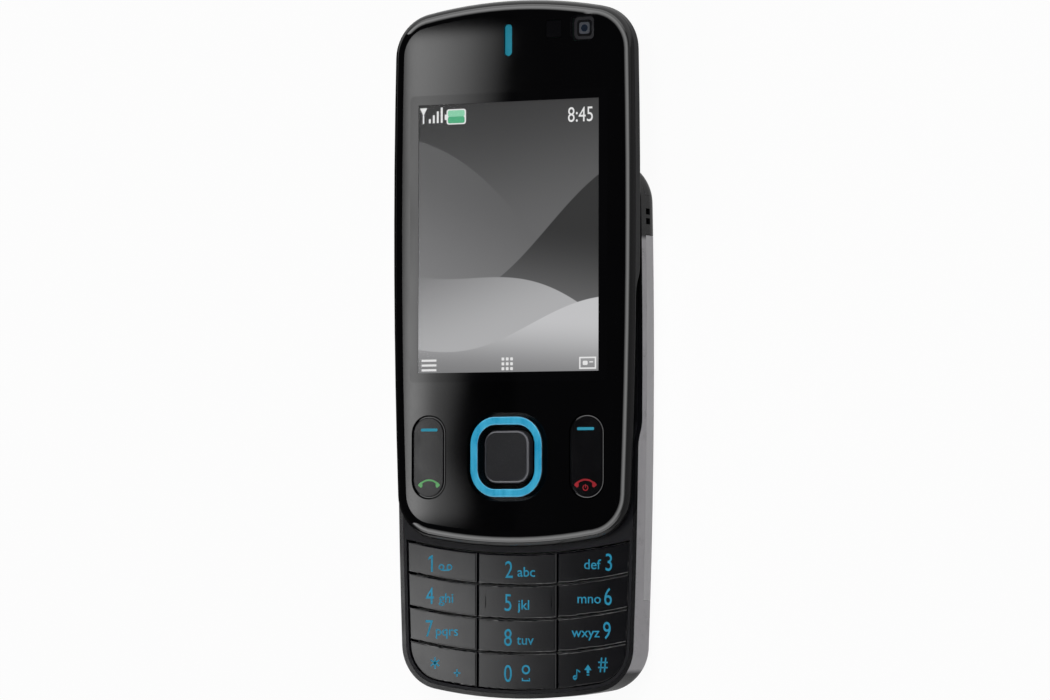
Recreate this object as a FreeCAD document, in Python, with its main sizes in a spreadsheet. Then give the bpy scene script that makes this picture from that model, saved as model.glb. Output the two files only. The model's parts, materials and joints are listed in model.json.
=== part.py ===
import FreeCAD, Part
import math
import os
import Sketcher

# Slider phone, shown open. +Z points out of the screen, +Y towards the earpiece, +X to the right
# hand side. The back of the phone lies on Z = 0 and the origin is under the middle of the open phone.

doc = FreeCAD.newDocument("SliderPhone")
sheet = doc.addObject("Spreadsheet::Sheet", "Sizes")
row_number = 0


class Size:
    """A length that knows its value and the sheet formula that it comes from."""

    def __init__(self, value, formula):
        self.value = float(value)
        self.formula = formula

    def join(self, other, sign, value):
        text = other.formula if isinstance(other, Size) else repr(other)
        return Size(value, "(" + self.formula + " " + sign + " " + text + ")")

    def __add__(self, other):
        return self.join(other, "+", self.value + number(other))

    def __sub__(self, other):
        return self.join(other, "-", self.value - number(other))

    def __mul__(self, other):
        return self.join(other, "*", self.value * number(other))

    def __truediv__(self, other):
        return self.join(other, "/", self.value / number(other))

    def __neg__(self):
        return Size(-self.value, "(0 - " + self.formula + ")")


def number(length):
    return length.value if isinstance(length, Size) else float(length)


def size(alias, value, meaning):
    """Write one driving dimension into the sheet and hand it back."""
    global row_number
    row_number = row_number + 1
    sheet.set("A" + str(row_number), meaning)
    sheet.set("B" + str(row_number), str(value))
    sheet.setAlias("B" + str(row_number), alias)
    return Size(value, "Sizes." + alias)


# Sizes of the case, the same for both halves
case_width = size("case_width", 44.8, "width over both sides")
case_length = size("case_length", 90.5, "length of each half")
side_radius = size("side_radius", 1200, "bow of the long sides")
side_widest = size("side_widest", 10, "the sides are widest this far above the middle")
end_radius = size("end_radius", 85, "bow of the two ends")
corner_radius = size("corner_radius", 7.5, "corners seen from the front")
travel = size("travel", 25, "how far the upper half slides")

# Heights above the back of the phone
seam_height = size("seam_height", 7.0, "rear covers meet the side band")
bed_height = size("bed_height", 8.6, "slide bed, the low part of the lower front")
rim_height = size("rim_height", 10.0, "rim round the keypad, the high part")
slide_gap = size("slide_gap", 0.4, "air between the two halves")
parting_height = size("parting_height", 11.3, "front cover meets the upper rear cover")
face_height = size("face_height", 13.5, "glossy front face")

# Walls and edges
side_wall = size("side_wall", 1.1, "side walls")
back_wall = size("back_wall", 0.9, "rear covers")
front_wall = size("front_wall", 0.9, "front cover and display window")
plate_wall = size("plate_wall", 0.7, "floor of the upper rear cover, thick end")
thin_wall = size("thin_wall", 0.5, "floor of the upper rear cover, thin end")
back_round = size("back_round", 5.5, "rounding of the rear edges")
roll_radius = size("roll_radius", 2.6, "rounding of the front edge")
rear_edge_round = size("rear_edge_round", 0.7, "rounding of the rear edge of the upper half")
step_below = size("step_below", 1.55, "middle of the S step, below the middle of a half")
step_length = size("step_length", 5.0, "length of the S step")
fit = size("fit", 0.1, "gap round a piece that is set into another")
seam = size("seam", 0.05, "gap between covers that meet")
key_gap = size("key_gap", 0.15, "gap round a moving key")

half_width = case_width / 2
half_length = case_length / 2
half_travel = travel / 2
thick_back = bed_height + slide_gap
thin_back = rim_height + slide_gap
lining = roll_radius + fit
under_face = face_height - front_wall
step_low = -step_below - step_length / 2
step_high = -step_below + step_length / 2


def new_body(label, half):
    """A body of the lower half (-1) or of the upper half (1)."""
    body = doc.addObject("PartDesign::Body", label)
    body.Label = label
    body.setExpression("Placement.Base.y", (half_travel * half).formula)
    return body


def new_sketch(body, name, plane="XY_Plane", lift=None):
    """A sketch on one of the body's own planes, lifted off it by a size."""
    support = [item for item in body.Origin.OriginFeatures if item.Role == plane][0]
    sketch = body.newObject("Sketcher::SketchObject", body.Label + "_" + name)
    sketch.AttachmentSupport = [(support, "")]
    sketch.MapMode = "FlatFace"
    if lift is not None:
        sketch.setExpression("AttachmentOffset.Base.z", lift.formula)
    return sketch


def rule(sketch, kind, *what):
    """Add a constraint. A size in last place also becomes the constraint's formula."""
    length = what[-1]
    if isinstance(length, Size):
        index = sketch.addConstraint(Sketcher.Constraint(kind, *what[:-1], length.value))
        sketch.setExpression("Constraints[" + str(index) + "]", length.formula)
    else:
        sketch.addConstraint(Sketcher.Constraint(kind, *what))


def place(sketch, index, end, across, up):
    """Hold a point of the sketch at its coordinates."""
    rule(sketch, "DistanceX", -1, 1, index, end, across)
    rule(sketch, "DistanceY", -1, 1, index, end, up)


def vector(across, up):
    return FreeCAD.Vector(number(across), number(up), 0)


def circle(sketch, across, up, radius):
    shape = Part.Circle(vector(across, up), FreeCAD.Vector(0, 0, 1), number(radius))
    index = sketch.addGeometry(shape, False)
    rule(sketch, "Radius", index, radius)
    place(sketch, index, 3, across, up)


def polygon(sketch, corners):
    """A closed outline of straight lines, each corner held by two sizes."""
    count = len(corners)
    first = len(sketch.Geometry)
    for at in range(count):
        start = vector(*corners[at])
        finish = vector(*corners[(at + 1) % count])
        sketch.addGeometry(Part.LineSegment(start, finish), False)
    for at in range(count):
        rule(sketch, "Coincident", first + at, 2, first + (at + 1) % count, 1)
        place(sketch, first + at, 1, *corners[at])


def rectangle(sketch, across, up, width, height):
    left = across - width / 2
    right = across + width / 2
    low = up - height / 2
    high = up + height / 2
    polygon(sketch, [(left, low), (right, low), (right, high), (left, high)])


def rounded_rectangle(sketch, across, up, width, height, radius):
    """Four straight sides joined by equal tangent arcs, centred on a point."""
    first = len(sketch.Geometry)
    inner_x = width / 2 - radius
    inner_y = height / 2 - radius
    centres = [(1, 1), (-1, 1), (-1, -1), (1, -1)]
    for quarter, (side, end) in enumerate(centres):
        middle = vector(across + inner_x * side, up + inner_y * end)
        ring = Part.Circle(middle, FreeCAD.Vector(0, 0, 1), number(radius))
        start = quarter * math.pi / 2
        sketch.addGeometry(Part.ArcOfCircle(ring, start, start + math.pi / 2), False)
    arcs = sketch.Geometry[first:first + 4]
    for quarter in range(4):
        leave = arcs[quarter].EndPoint
        arrive = arcs[(quarter + 1) % 4].StartPoint
        sketch.addGeometry(Part.LineSegment(leave, arrive), False)
    for quarter in range(4):
        line = first + 4 + quarter
        rule(sketch, "Tangent", first + quarter, 2, line, 1)
        rule(sketch, "Tangent", line, 2, first + (quarter + 1) % 4, 1)
    for quarter in range(1, 4):
        rule(sketch, "Equal", first, first + quarter)
    rule(sketch, "Radius", first, radius)
    for quarter in (0, 2):
        side, end = centres[quarter]
        place(sketch, first + quarter, 3, across + inner_x * side, up + inner_y * end)
    rule(sketch, "Horizontal", first + 4)


def corner_centre(side, end):
    """Centre of the corner arc that touches the bowed side and the bowed end."""
    side_middle = (side * (half_width.value - side_radius.value), side_widest.value)
    end_middle = (0.0, end * (half_length.value - end_radius.value))
    from_side = side_radius.value - corner_radius.value
    from_end = end_radius.value - corner_radius.value
    span_x = end_middle[0] - side_middle[0]
    span_y = end_middle[1] - side_middle[1]
    span = math.hypot(span_x, span_y)
    along = (from_side ** 2 - from_end ** 2 + span ** 2) / (2 * span)
    off = math.sqrt(from_side ** 2 - along ** 2)
    turn = side * end
    foot_x = side_middle[0] + along * span_x / span
    foot_y = side_middle[1] + along * span_y / span
    return (foot_x - turn * off * span_y / span, foot_y + turn * off * span_x / span)


def tangent_point(centre, middle, radius):
    """The point at a radius from a centre, on the line through the middle of the next arc."""
    scale = radius / math.hypot(middle[0] - centre[0], middle[1] - centre[1])
    return (centre[0] + (middle[0] - centre[0]) * scale,
            centre[1] + (middle[1] - centre[1]) * scale)


def arc_between(sketch, middle, radius, start, finish):
    """Counter-clockwise arc about a centre from one point's direction to another's."""
    ring = Part.Circle(FreeCAD.Vector(middle[0], middle[1], 0), FreeCAD.Vector(0, 0, 1), radius)
    first = math.atan2(start[1] - middle[1], start[0] - middle[0])
    last = math.atan2(finish[1] - middle[1], finish[0] - middle[0])
    if last < first:
        last = last + 2 * math.pi
    sketch.addGeometry(Part.ArcOfCircle(ring, first, last), False)


def case_outline(sketch, inset):
    """The case outline, drawn in by an inset: bowed sides and ends and four corner arcs."""
    first = len(sketch.Geometry)
    gap = number(inset)
    quarters = [(1, 1), (-1, 1), (-1, -1), (1, -1)]
    corners = [corner_centre(side, end) for side, end in quarters]
    sides = {1: (half_width.value - side_radius.value, side_widest.value)}
    sides[-1] = (-sides[1][0], sides[1][1])
    ends = {1: (0.0, half_length.value - end_radius.value)}
    ends[-1] = (0.0, -ends[1][1])

    side_bow = side_radius.value - gap
    end_bow = end_radius.value - gap
    small = corner_radius.value - gap
    touch_side = []
    touch_end = []
    for (side, end), corner in zip(quarters, corners):
        touch_side.append(tangent_point(sides[side], corner, side_bow))
        touch_end.append(tangent_point(ends[end], corner, end_bow))
    arc_between(sketch, corners[0], small, touch_side[0], touch_end[0])
    arc_between(sketch, ends[1], end_bow, touch_end[0], touch_end[1])
    arc_between(sketch, corners[1], small, touch_end[1], touch_side[1])
    arc_between(sketch, sides[-1], side_bow, touch_side[1], touch_side[2])
    arc_between(sketch, corners[2], small, touch_side[2], touch_end[2])
    arc_between(sketch, ends[-1], end_bow, touch_end[2], touch_end[3])
    arc_between(sketch, corners[3], small, touch_end[3], touch_side[3])
    arc_between(sketch, sides[1], side_bow, touch_side[3], touch_side[0])
    for at in range(8):
        rule(sketch, "Tangent", first + at, 2, first + (at + 1) % 8, 1)
    for at in (2, 4, 6):
        rule(sketch, "Equal", first, first + at)
    rule(sketch, "Radius", first, corner_radius - inset)
    rule(sketch, "Radius", first + 1, end_radius - inset)
    rule(sketch, "Radius", first + 5, end_radius - inset)
    rule(sketch, "Radius", first + 3, side_radius - inset)
    rule(sketch, "Radius", first + 7, side_radius - inset)
    rule(sketch, "PointOnObject", first + 1, 3, -2)
    rule(sketch, "DistanceY", -1, 1, first + 1, 3, half_length - end_radius)
    rule(sketch, "PointOnObject", first + 5, 3, -2)
    rule(sketch, "DistanceY", -1, 1, first + 5, 3, end_radius - half_length)
    place(sketch, first + 3, 3, side_radius - half_width, side_widest)
    place(sketch, first + 7, 3, half_width - side_radius, side_widest)


def step_profile(sketch, lift, close_at):
    """Side view of the S step: high towards the keypad end, low towards the earpiece end.

    lift raises the whole line, and close_at is the height at which the outline closes."""
    high = rim_height + lift
    low = bed_height + lift
    reach = case_length
    drop = number(high) - number(low)
    run = step_length.value / 2
    bend = (run ** 2 + (drop / 2) ** 2) / drop
    first_centre = (step_low.value, number(high) - bend)
    second_centre = (step_high.value, number(low) + bend)
    middle = (-step_below.value, (number(high) + number(low)) / 2)
    top_first = (step_low.value, number(high))
    top_last = (step_high.value, number(low))
    line_a = Part.LineSegment(vector(-reach, high), vector(*top_first))
    sketch.addGeometry(line_a, False)
    arc_between(sketch, first_centre, bend, middle, top_first)
    arc_between(sketch, second_centre, bend, middle, top_last)
    sketch.addGeometry(Part.LineSegment(vector(*top_last), vector(reach, low)), False)
    sketch.addGeometry(Part.LineSegment(vector(reach, low), vector(reach, close_at)), False)
    sketch.addGeometry(Part.LineSegment(vector(reach, close_at), vector(-reach, close_at)), False)
    sketch.addGeometry(Part.LineSegment(vector(-reach, close_at), vector(-reach, high)), False)
    rule(sketch, "Tangent", 0, 2, 1, 2)
    rule(sketch, "Tangent", 1, 1, 2, 1)
    rule(sketch, "Tangent", 2, 2, 3, 1)
    rule(sketch, "Coincident", 3, 2, 4, 1)
    rule(sketch, "Coincident", 4, 2, 5, 1)
    rule(sketch, "Coincident", 5, 2, 6, 1)
    rule(sketch, "Coincident", 6, 2, 0, 1)
    rule(sketch, "Equal", 1, 2)
    rule(sketch, "Horizontal", 0)
    rule(sketch, "Horizontal", 3)
    place(sketch, 0, 2, step_low, high)
    place(sketch, 3, 1, step_high, low)
    rule(sketch, "DistanceX", -1, 1, 3, 2, reach)
    place(sketch, 5, 1, reach, close_at)
    place(sketch, 5, 2, -reach, close_at)


def pad(body, name, draw, bottom, top):
    """Raise a sketch from one height to another."""
    sketch = new_sketch(body, name + "_sketch", "XY_Plane", bottom)
    draw(sketch)
    feature = body.newObject("PartDesign::Pad", body.Label + "_" + name)
    feature.Profile = sketch
    feature.setExpression("Length", (top - bottom).formula)
    return feature


def cut(body, name, draw, bottom, top):
    """Cut a sketch down from the upper height to the lower one."""
    sketch = new_sketch(body, name + "_sketch", "XY_Plane", top)
    draw(sketch)
    feature = body.newObject("PartDesign::Pocket", body.Label + "_" + name)
    feature.Profile = sketch
    feature.setExpression("Length", (top - bottom).formula)
    return feature


def cut_from_side(body, name, draw, width, plane="YZ_Plane"):
    """Cut a side view through the body, centred, as wide as told."""
    sketch = new_sketch(body, name + "_sketch", plane)
    draw(sketch)
    feature = body.newObject("PartDesign::Pocket", body.Label + "_" + name)
    feature.Profile = sketch
    feature.SideType = "Symmetric"
    feature.setExpression("Length", width.formula)
    return feature


def pad_from_side(body, name, draw, width, plane="YZ_Plane"):
    """Raise a side view to both sides, as wide as told."""
    sketch = new_sketch(body, name + "_sketch", plane)
    draw(sketch)
    feature = body.newObject("PartDesign::Pad", body.Label + "_" + name)
    feature.Profile = sketch
    feature.SideType = "Symmetric"
    feature.setExpression("Length", width.formula)
    return feature


def round_edges(body, name, base, chosen, radius):
    """Fillet the edges that a test picks from the shape so far."""
    doc.recompute()
    names = []
    for at, edge in enumerate(base.Shape.Edges):
        if chosen(edge):
            names.append("Edge" + str(at + 1))
    feature = body.newObject("PartDesign::Fillet", body.Label + "_" + name)
    feature.Base = (base, names)
    feature.setExpression("Radius", radius.formula)
    return feature


def flat_at(height):
    """A test for edges that lie level at a height."""
    level = number(height)

    def chosen(edge):
        box = edge.BoundBox
        return abs(box.ZMin - level) < 0.001 and abs(box.ZMax - level) < 0.001

    return chosen


nothing = size("nothing", 0, "the middle line")

# Lower half


def lower_chassis():
    """Moulded housing: side band with the S step, closed bottom end, floor and strap lugs."""
    body = new_body("lower_chassis", -1)
    block = pad(body, "block", lambda sk: case_outline(sk, nothing), nothing, rim_height)
    back = round_edges(body, "back", block, flat_at(0), back_round)
    above = rim_height + slide_gap
    cut_from_side(body, "step", lambda sk: step_profile(sk, nothing, above), case_width * 2)
    cut(body, "front", lambda sk: case_outline(sk, band_wall), seat_height, above)
    cut(body, "inside", lambda sk: case_outline(sk, inner_inset), floor_top, seat_height)
    cut(body, "bay", lambda sk: case_outline(sk, inner_inset), back_wall, floor_bottom)
    cut(body, "cover_place", rear_opening, -back_wall, floor_bottom)
    cut(body, "cover_sides", side_openings, floor_bottom - fit, seam_height)
    cut(body, "cap_place", cap_opening, -back_wall, seam_height)
    cut(body, "floor_windows", floor_windows, floor_bottom - fit, floor_top + fit)
    cut(body, "screw_holes", lambda sk: screw_circles(sk, screw_shaft + key_gap), floor_bottom - fit,
        floor_top + fit)
    cut(body, "port", lambda sk: circle(sk, nothing, port_place, port_radius), -back_wall, back_wall * 2)
    strap_eyelet(body)


seat_height = size("seat_height", 7.6, "ledge of the chassis that carries the keypad cover")
rail_edge = size("rail_edge", 20.5, "side rail of the chassis, from the middle")
inner_inset = size("inner_inset", 2.6, "inside of the chassis walls, from the case outline")
port_place = size("port_place", -38.0, "microphone port")
port_radius = size("port_radius", 0.6, "microphone port radius")
band_wall = size("band_wall", 0.75, "metal band round the keypad cover")
floor_bottom = size("floor_bottom", 5.3, "underside of the chassis floor")
floor_thickness = size("floor_thickness", 0.6, "chassis floor between battery and board")
floor_top = floor_bottom + floor_thickness
cover_low = size("cover_low", -29.0, "lower end of the battery cover, from the middle of the lower half")
cover_high = size("cover_high", 31.05, "upper end of the battery cover")
lug_length = size("lug_length", 6.5, "strap lug along the side")
lug_width = size("lug_width", 5.4, "strap lug across")
cap_high = cover_high + lug_length


def rear_opening(sketch):
    """Where the battery cover goes: right across the back."""
    middle = (cover_low + cover_high) / 2
    rectangle(sketch, nothing, middle, case_width * 2, cover_high - cover_low)


def side_openings(sketch):
    """Where the battery cover wraps onto the two sides."""
    middle = (cover_low + cover_high) / 2
    for side in (-1, 1):
        across = (rail_edge + half_width) * side
        rectangle(sketch, across, middle, half_width * 2, cover_high - cover_low)


def cap_opening(sketch):
    """Where the rear top cap goes: the end, and a tongue between the two strap lugs."""
    inner = half_width - lug_width
    far = half_length * 2
    polygon(sketch, [
        (-inner, cover_high - seam), (inner, cover_high - seam),
        (inner, cap_high), (case_width, cap_high),
        (case_width, far), (-case_width, far),
        (-case_width, cap_high), (-inner, cap_high)])


sim_width = size("sim_width", 16.0, "SIM card holder across")
sim_length = size("sim_length", 14.0, "SIM card holder along")
sim_place = size("sim_place", -15.0, "SIM card holder from the middle of the lower half")
card_width = size("card_width", 13.0, "memory card holder across")
card_length = size("card_length", 14.0, "memory card holder along")
card_place = size("card_place", 5.0, "memory card holder from the middle of the lower half")
contact_width = size("contact_width", 9.0, "battery contact block across")
contact_length = size("contact_length", 3.2, "battery contact block along")
contact_place = size("contact_place", 27.2, "battery contact block from the middle of the lower half")


def floor_windows(sketch):
    """Openings of the floor for the card holders and the battery contacts."""
    rectangle(sketch, nothing, sim_place, sim_width + fit * 2, sim_length + fit * 2)
    rectangle(sketch, nothing, card_place, card_width + fit * 2, card_length + fit * 2)
    rectangle(sketch, nothing, contact_place, contact_width + fit * 2, contact_length + fit * 2)


eyelet_place = size("eyelet_place", 34.1, "strap eyelet from the middle of the lower half")
eyelet_height = size("eyelet_height", 6.1, "strap eyelet above the back")
eyelet_width = size("eyelet_width", 2.6, "strap eyelet along the side, bar included")
eyelet_tall = size("eyelet_tall", 1.5, "strap eyelet, height")
eyelet_depth = size("eyelet_depth", 3.0, "depth of the strap eyelet")
strap_bar = size("strap_bar", 0.6, "bar that the strap goes round")


def strap_eyelet(body):
    """Two holes on the right side that meet behind a bar."""
    lobe = (eyelet_width - strap_bar) / 2
    for side in (-1, 1):
        name = "eyelet_low" if side < 0 else "eyelet_high"
        middle = eyelet_place + (strap_bar + lobe) / 2 * side
        side_cut(body, name, middle, eyelet_height, lobe, eyelet_tall, half_width - eyelet_depth, case_width)
    behind = half_width - eyelet_depth
    side_cut(body, "eyelet_back", eyelet_place, eyelet_height, eyelet_width, eyelet_tall, behind,
             behind + eyelet_depth / 3)


def side_cut(body, name, along, height, length, tall, near, far):
    """A square hole cut in from the right hand side, between two distances from the middle."""
    sketch = new_sketch(body, name + "_sketch", "YZ_Plane", far)
    rectangle(sketch, along, height, length, tall)
    feature = body.newObject("PartDesign::Pocket", body.Label + "_" + name)
    feature.Profile = sketch
    feature.setExpression("Length", (far - near).formula)
    return feature


def battery_cover():
    """Rear cover that wraps onto both sides."""
    body = new_body("battery_cover", -1)
    block = pad(body, "block", lambda sk: case_outline(sk, nothing), nothing, seam_height - seam)
    round_edges(body, "back", block, flat_at(0), back_round)
    cut(body, "inside", lambda sk: case_outline(sk, side_wall), shell_top, seam_height)
    cut(body, "hollow", lambda sk: case_outline(sk, lining), back_wall, shell_top)
    cut(body, "ends", cover_ends, -back_wall, seam_height)
    cut(body, "rails", cover_inside, back_wall, seam_height)


shell_top = size("shell_top", 2.6, "height at which the rear covers get their thin sides")


def cover_ends(sketch):
    """What lies beyond the two ends of the battery cover."""
    far = half_length * 2
    rectangle(sketch, nothing, cover_low + seam - far / 2, case_width * 2, far)
    rectangle(sketch, nothing, cover_high - seam * 2 + far / 2, case_width * 2, far)


def cover_inside(sketch):
    """Room for the battery between the side walls."""
    middle = (cover_low + cover_high) / 2
    rectangle(sketch, nothing, middle, (half_width - lining) * 2 - fit, cover_high - cover_low)


def rear_top_cap():
    """Rear end cap with a tongue between the strap lugs, a lens opening and two socket holes."""
    body = new_body("rear_top_cap", -1)
    block = pad(body, "block", lambda sk: case_outline(sk, nothing), nothing, seam_height - seam)
    round_edges(body, "back", block, flat_at(0), back_round)
    cut(body, "inside", lambda sk: case_outline(sk, lining), back_wall, seam_height)
    cut(body, "ends", cap_rest, -back_wall, seam_height)
    cut(body, "lens", lambda sk: lens_shape(sk, fit / 2), -back_wall, back_wall * 2)
    socket_holes(body)


def cap_rest(sketch):
    """Everything that isn't the cap."""
    inner = half_width - lug_width - seam
    far = half_length * 2
    low = cover_high + seam
    high = cap_high + seam
    polygon(sketch, [
        (-case_width, -far), (case_width, -far), (case_width, high), (inner, high),
        (inner, low), (-inner, low), (-inner, high), (-case_width, high)])


lens_place = size("lens_place", 37.6, "camera, from the middle of the lower half")
lens_width = size("lens_width", 27.0, "camera window across")
lens_height = size("lens_height", 9.4, "camera window along")


def lens_shape(sketch, gap):
    """The pill shape of the camera window, grown by a gap."""
    width = lens_width + gap * 2
    height = lens_height + gap * 2
    rounded_rectangle(sketch, nothing, lens_place, width, height, height / 2 - lens_corner)


lens_corner = size("lens_corner", 0.2, "flat left at the ends of the camera window")
charger_across = size("charger_across", -12.0, "charger socket from the middle line")
charger_height = size("charger_height", 3.9, "charger socket above the back")
charger_bore = size("charger_bore", 1.05, "radius of the charger socket's bore")
charger_body = size("charger_body", 4.2, "width and height of the charger socket")
charger_length = size("charger_length", 8.0, "length of the charger socket")
usb_across = size("usb_across", 11.0, "USB socket from the middle line")
usb_width = size("usb_width", 7.6, "USB socket across")
usb_tall = size("usb_tall", 2.6, "USB socket, height")
usb_length = size("usb_length", 5.6, "length of the USB socket")
socket_end = size("socket_end", 41.2, "outer end of the two sockets, from the middle of the lower half")


def end_sketch(body, name, away):
    """A sketch that looks along the phone, lifted off the middle of the half."""
    sketch = new_sketch(body, name, "XZ_Plane")
    sketch.setExpression("AttachmentOffset.Base.z", (-away).formula)
    return sketch


def end_cut(body, name, draw, near, far):
    """Cut back from one distance along the phone to a nearer one."""
    sketch = end_sketch(body, name + "_sketch", near)
    draw(sketch)
    feature = body.newObject("PartDesign::Pocket", body.Label + "_" + name)
    feature.Profile = sketch
    feature.setExpression("Length", (far - near).formula)
    return feature


def socket_holes(body):
    """Holes in the top end in front of the charger socket and the USB socket."""
    near = socket_end - fit * 5
    end_cut(body, "charger_hole", lambda sk: circle(sk, charger_across, charger_height,
            charger_bore + key_gap * 2), near, half_length + 1)
    end_cut(body, "usb_hole", lambda sk: rectangle(sk, usb_across, charger_height,
            usb_width - key_gap, usb_tall - key_gap), near, half_length + 1)


def charger_socket():
    """Barrel socket, bored from the top end."""
    body = new_body("charger_socket", -1)
    sketch = end_sketch(body, "block_sketch", socket_end)
    rectangle(sketch, charger_across, charger_height, charger_body, charger_body)
    feature = body.newObject("PartDesign::Pad", "charger_socket_block")
    feature.Profile = sketch
    feature.setExpression("Length", charger_length.formula)
    bore_depth = charger_length - side_wall
    end_cut(body, "bore", lambda sk: circle(sk, charger_across, charger_height, charger_bore),
            socket_end - bore_depth, socket_end + fit)


def usb_socket():
    """Pressed shell with its contact tongue."""
    body = new_body("usb_socket", -1)
    sketch = end_sketch(body, "block_sketch", socket_end)
    rectangle(sketch, usb_across, charger_height, usb_width, usb_tall)
    feature = body.newObject("PartDesign::Pad", "usb_socket_block")
    feature.Profile = sketch
    feature.setExpression("Length", usb_length.formula)
    mouth_depth = usb_length - front_wall
    tongue = usb_tall / 5

    def mouth(sketch):
        clear_width = usb_width - shell_sheet * 2
        clear_tall = usb_tall - shell_sheet * 2
        rectangle(sketch, usb_across, charger_height, clear_width, clear_tall)
        rectangle(sketch, usb_across, charger_height, clear_width - tongue * 3, tongue)

    end_cut(body, "mouth", mouth, socket_end - mouth_depth, socket_end + fit)


shell_sheet = size("shell_sheet", 0.3, "pressed sheet metal of small shells")


def camera_window():
    """Dark window with the lens opening and two flash openings."""
    body = new_body("camera_window", -1)
    pad(body, "pane", lambda sk: lens_shape(sk, -fit / 2), fit, back_wall)
    cut(body, "openings", camera_openings, -back_wall, back_wall * 2)


lens_radius = size("lens_radius", 3.2, "lens barrel of the main camera")
flash_reach = size("flash_reach", 8.6, "flash lights from the lens")
flash_radius = size("flash_radius", 1.3, "each flash light")


def camera_openings(sketch):
    circle(sketch, nothing, lens_place, lens_radius + fit)
    for side in (-1, 1):
        circle(sketch, flash_reach * side, lens_place, flash_radius + fit)


def main_camera():
    """Camera block with its lens barrel and the opening in front of the lens."""
    body = new_body("main_camera", -1)

    def block_plan(sketch):
        rounded_rectangle(sketch, nothing, lens_place, camera_block, camera_block, front_wall)

    pad(body, "barrel", lambda sk: circle(sk, nothing, lens_place, lens_radius),
        back_wall / 2, camera_low + fit)
    pad(body, "block", block_plan, camera_low, board_bottom - seam)
    cut(body, "lens", lambda sk: circle(sk, nothing, lens_place, lens_opening), nothing, camera_low)


lens_opening = size("lens_opening", 1.76, "opening in front of the camera's lens, radius")
camera_low = size("camera_low", 1.3, "camera block above the back")
camera_block = size("camera_block", 8.6, "camera block across")
board_bottom = size("board_bottom", 6.1, "underside of the main board")
board_thickness = size("board_thickness", 0.8, "main board")
board_top = board_bottom + board_thickness


def flash_leds():
    """Two flash lights, one on each side of the camera."""
    body = doc.addObject("Part::Compound", "flash_leds")
    body.Label = "flash_leds"
    lights = []
    for side in (-1, 1):
        light = doc.addObject("Part::Cylinder", "flash_" + ("left" if side < 0 else "right"))
        light.setExpression("Radius", flash_radius.formula)
        light.setExpression("Height", (back_wall * 2 - fit * 3).formula)
        light.setExpression("Placement.Base.x", (flash_reach * side).formula)
        light.setExpression("Placement.Base.y", lens_place.formula)
        light.setExpression("Placement.Base.z", (fit * 3).formula)
        lights.append(light)
    body.Links = lights
    body.setExpression("Placement.Base.y", (-half_travel).formula)


def block_piece(label, half, across, along, width, length, bottom, top, radius):
    """A rounded block inside the phone, whose place and plan get their own sizes."""
    name = label.replace("_", " ")
    middle_x = size(label + "_across", across, name + " from the middle line")
    middle_y = size(label + "_along", along, name + " from the middle of its half")
    wide = size(label + "_wide", width, name + " across")
    long = size(label + "_long", length, name + " along")
    round_off = size(label + "_round", radius, name + " corner radius")
    body = new_body(label, half)

    def plan(sketch):
        rounded_rectangle(sketch, middle_x, middle_y, wide, long, round_off)

    pad(body, "block", plan, bottom, top)
    return body


def inner_pieces():
    """Battery, card holders and the small electric pieces of the lower half."""
    low = back_wall + fit * 2
    block_piece("battery", -1, 0, -1.2, 34, 51, low, floor_bottom - fit, 1.5)
    holder_top = board_bottom
    body = new_body("sim_holder", -1)
    pad(body, "frame", lambda sk: rectangle(sk, nothing, sim_place, sim_width, sim_length),
        floor_bottom, holder_top)
    cut(body, "tray", lambda sk: rectangle(sk, nothing, sim_place, sim_width - side_wall * 2,
        sim_length - side_wall), floor_bottom + shell_sheet, holder_top)
    body = new_body("memory_card_holder", -1)
    pad(body, "frame", lambda sk: rectangle(sk, nothing, card_place, card_width, card_length),
        floor_bottom, holder_top)
    cut(body, "tray", lambda sk: rectangle(sk, nothing, card_place, card_width - side_wall,
        card_length - side_wall), floor_bottom + shell_sheet, holder_top)
    body = new_body("battery_contacts", -1)
    pad(body, "block", lambda sk: rectangle(sk, nothing, contact_place, contact_width, contact_length),
        low + back_wall * 2, holder_top)
    spring_low = contact_place - contact_length / 2 - contact_reach

    def springs(sketch):
        for place_x in (-1, 0, 1):
            middle = (spring_low + contact_place) / 2
            rectangle(sketch, contact_width / 3 * place_x, middle, front_wall, contact_place - spring_low)

    pad(body, "springs", springs, low + back_wall * 2, low + back_wall * 3)
    over_antenna = back_wall * 2 + fit
    block_piece("loudspeaker", -1, 6, -36.0, 15, 9, over_antenna, floor_bottom, 2)
    body = block_piece("antenna", -1, 0, -36.4, 30, 9.5, back_wall, back_wall * 2, 2)
    cut(body, "port", lambda sk: circle(sk, nothing, port_place, port_radius * 2), nothing, over_antenna)
    block_piece("microphone", -1, -12, -38.2, 4, 3, over_antenna, floor_bottom, 0.5)
    body = new_body("vibration_motor", -1)
    pad(body, "can", lambda sk: circle(sk, motor_across, motor_along, motor_radius), over_antenna,
        floor_bottom)


contact_reach = size("contact_reach", 0.7, "how far the contact springs stand out")
motor_across = size("motor_across", -6.4, "vibration motor from the middle line")
motor_along = size("motor_along", -34.8, "vibration motor from the middle of the lower half")
motor_radius = size("motor_radius", 3.0, "vibration motor")


def main_board():
    """Main circuit board with its screw holes."""
    body = new_body("main_board", -1)
    pad(body, "board", lambda sk: case_outline(sk, inner_inset + fit * 2), board_bottom, board_top)
    cut(body, "screw_holes", lambda sk: screw_circles(sk, screw_shaft + key_gap), floor_bottom, seat_height)


screw_across = size("screw_across", 16.0, "housing screws from the middle line")
screw_low = size("screw_low", -36.4, "lower housing screws")
screw_high = size("screw_high", 29.6, "upper housing screws")
screw_shaft = size("screw_shaft", 0.7, "housing screw, shaft radius")
screw_head = size("screw_head", 1.4, "housing screw, head radius")


def screw_circles(sketch, radius):
    for side in (-1, 1):
        circle(sketch, screw_across * side, screw_low, radius)
        circle(sketch, screw_across * side, screw_high, radius)


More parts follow.
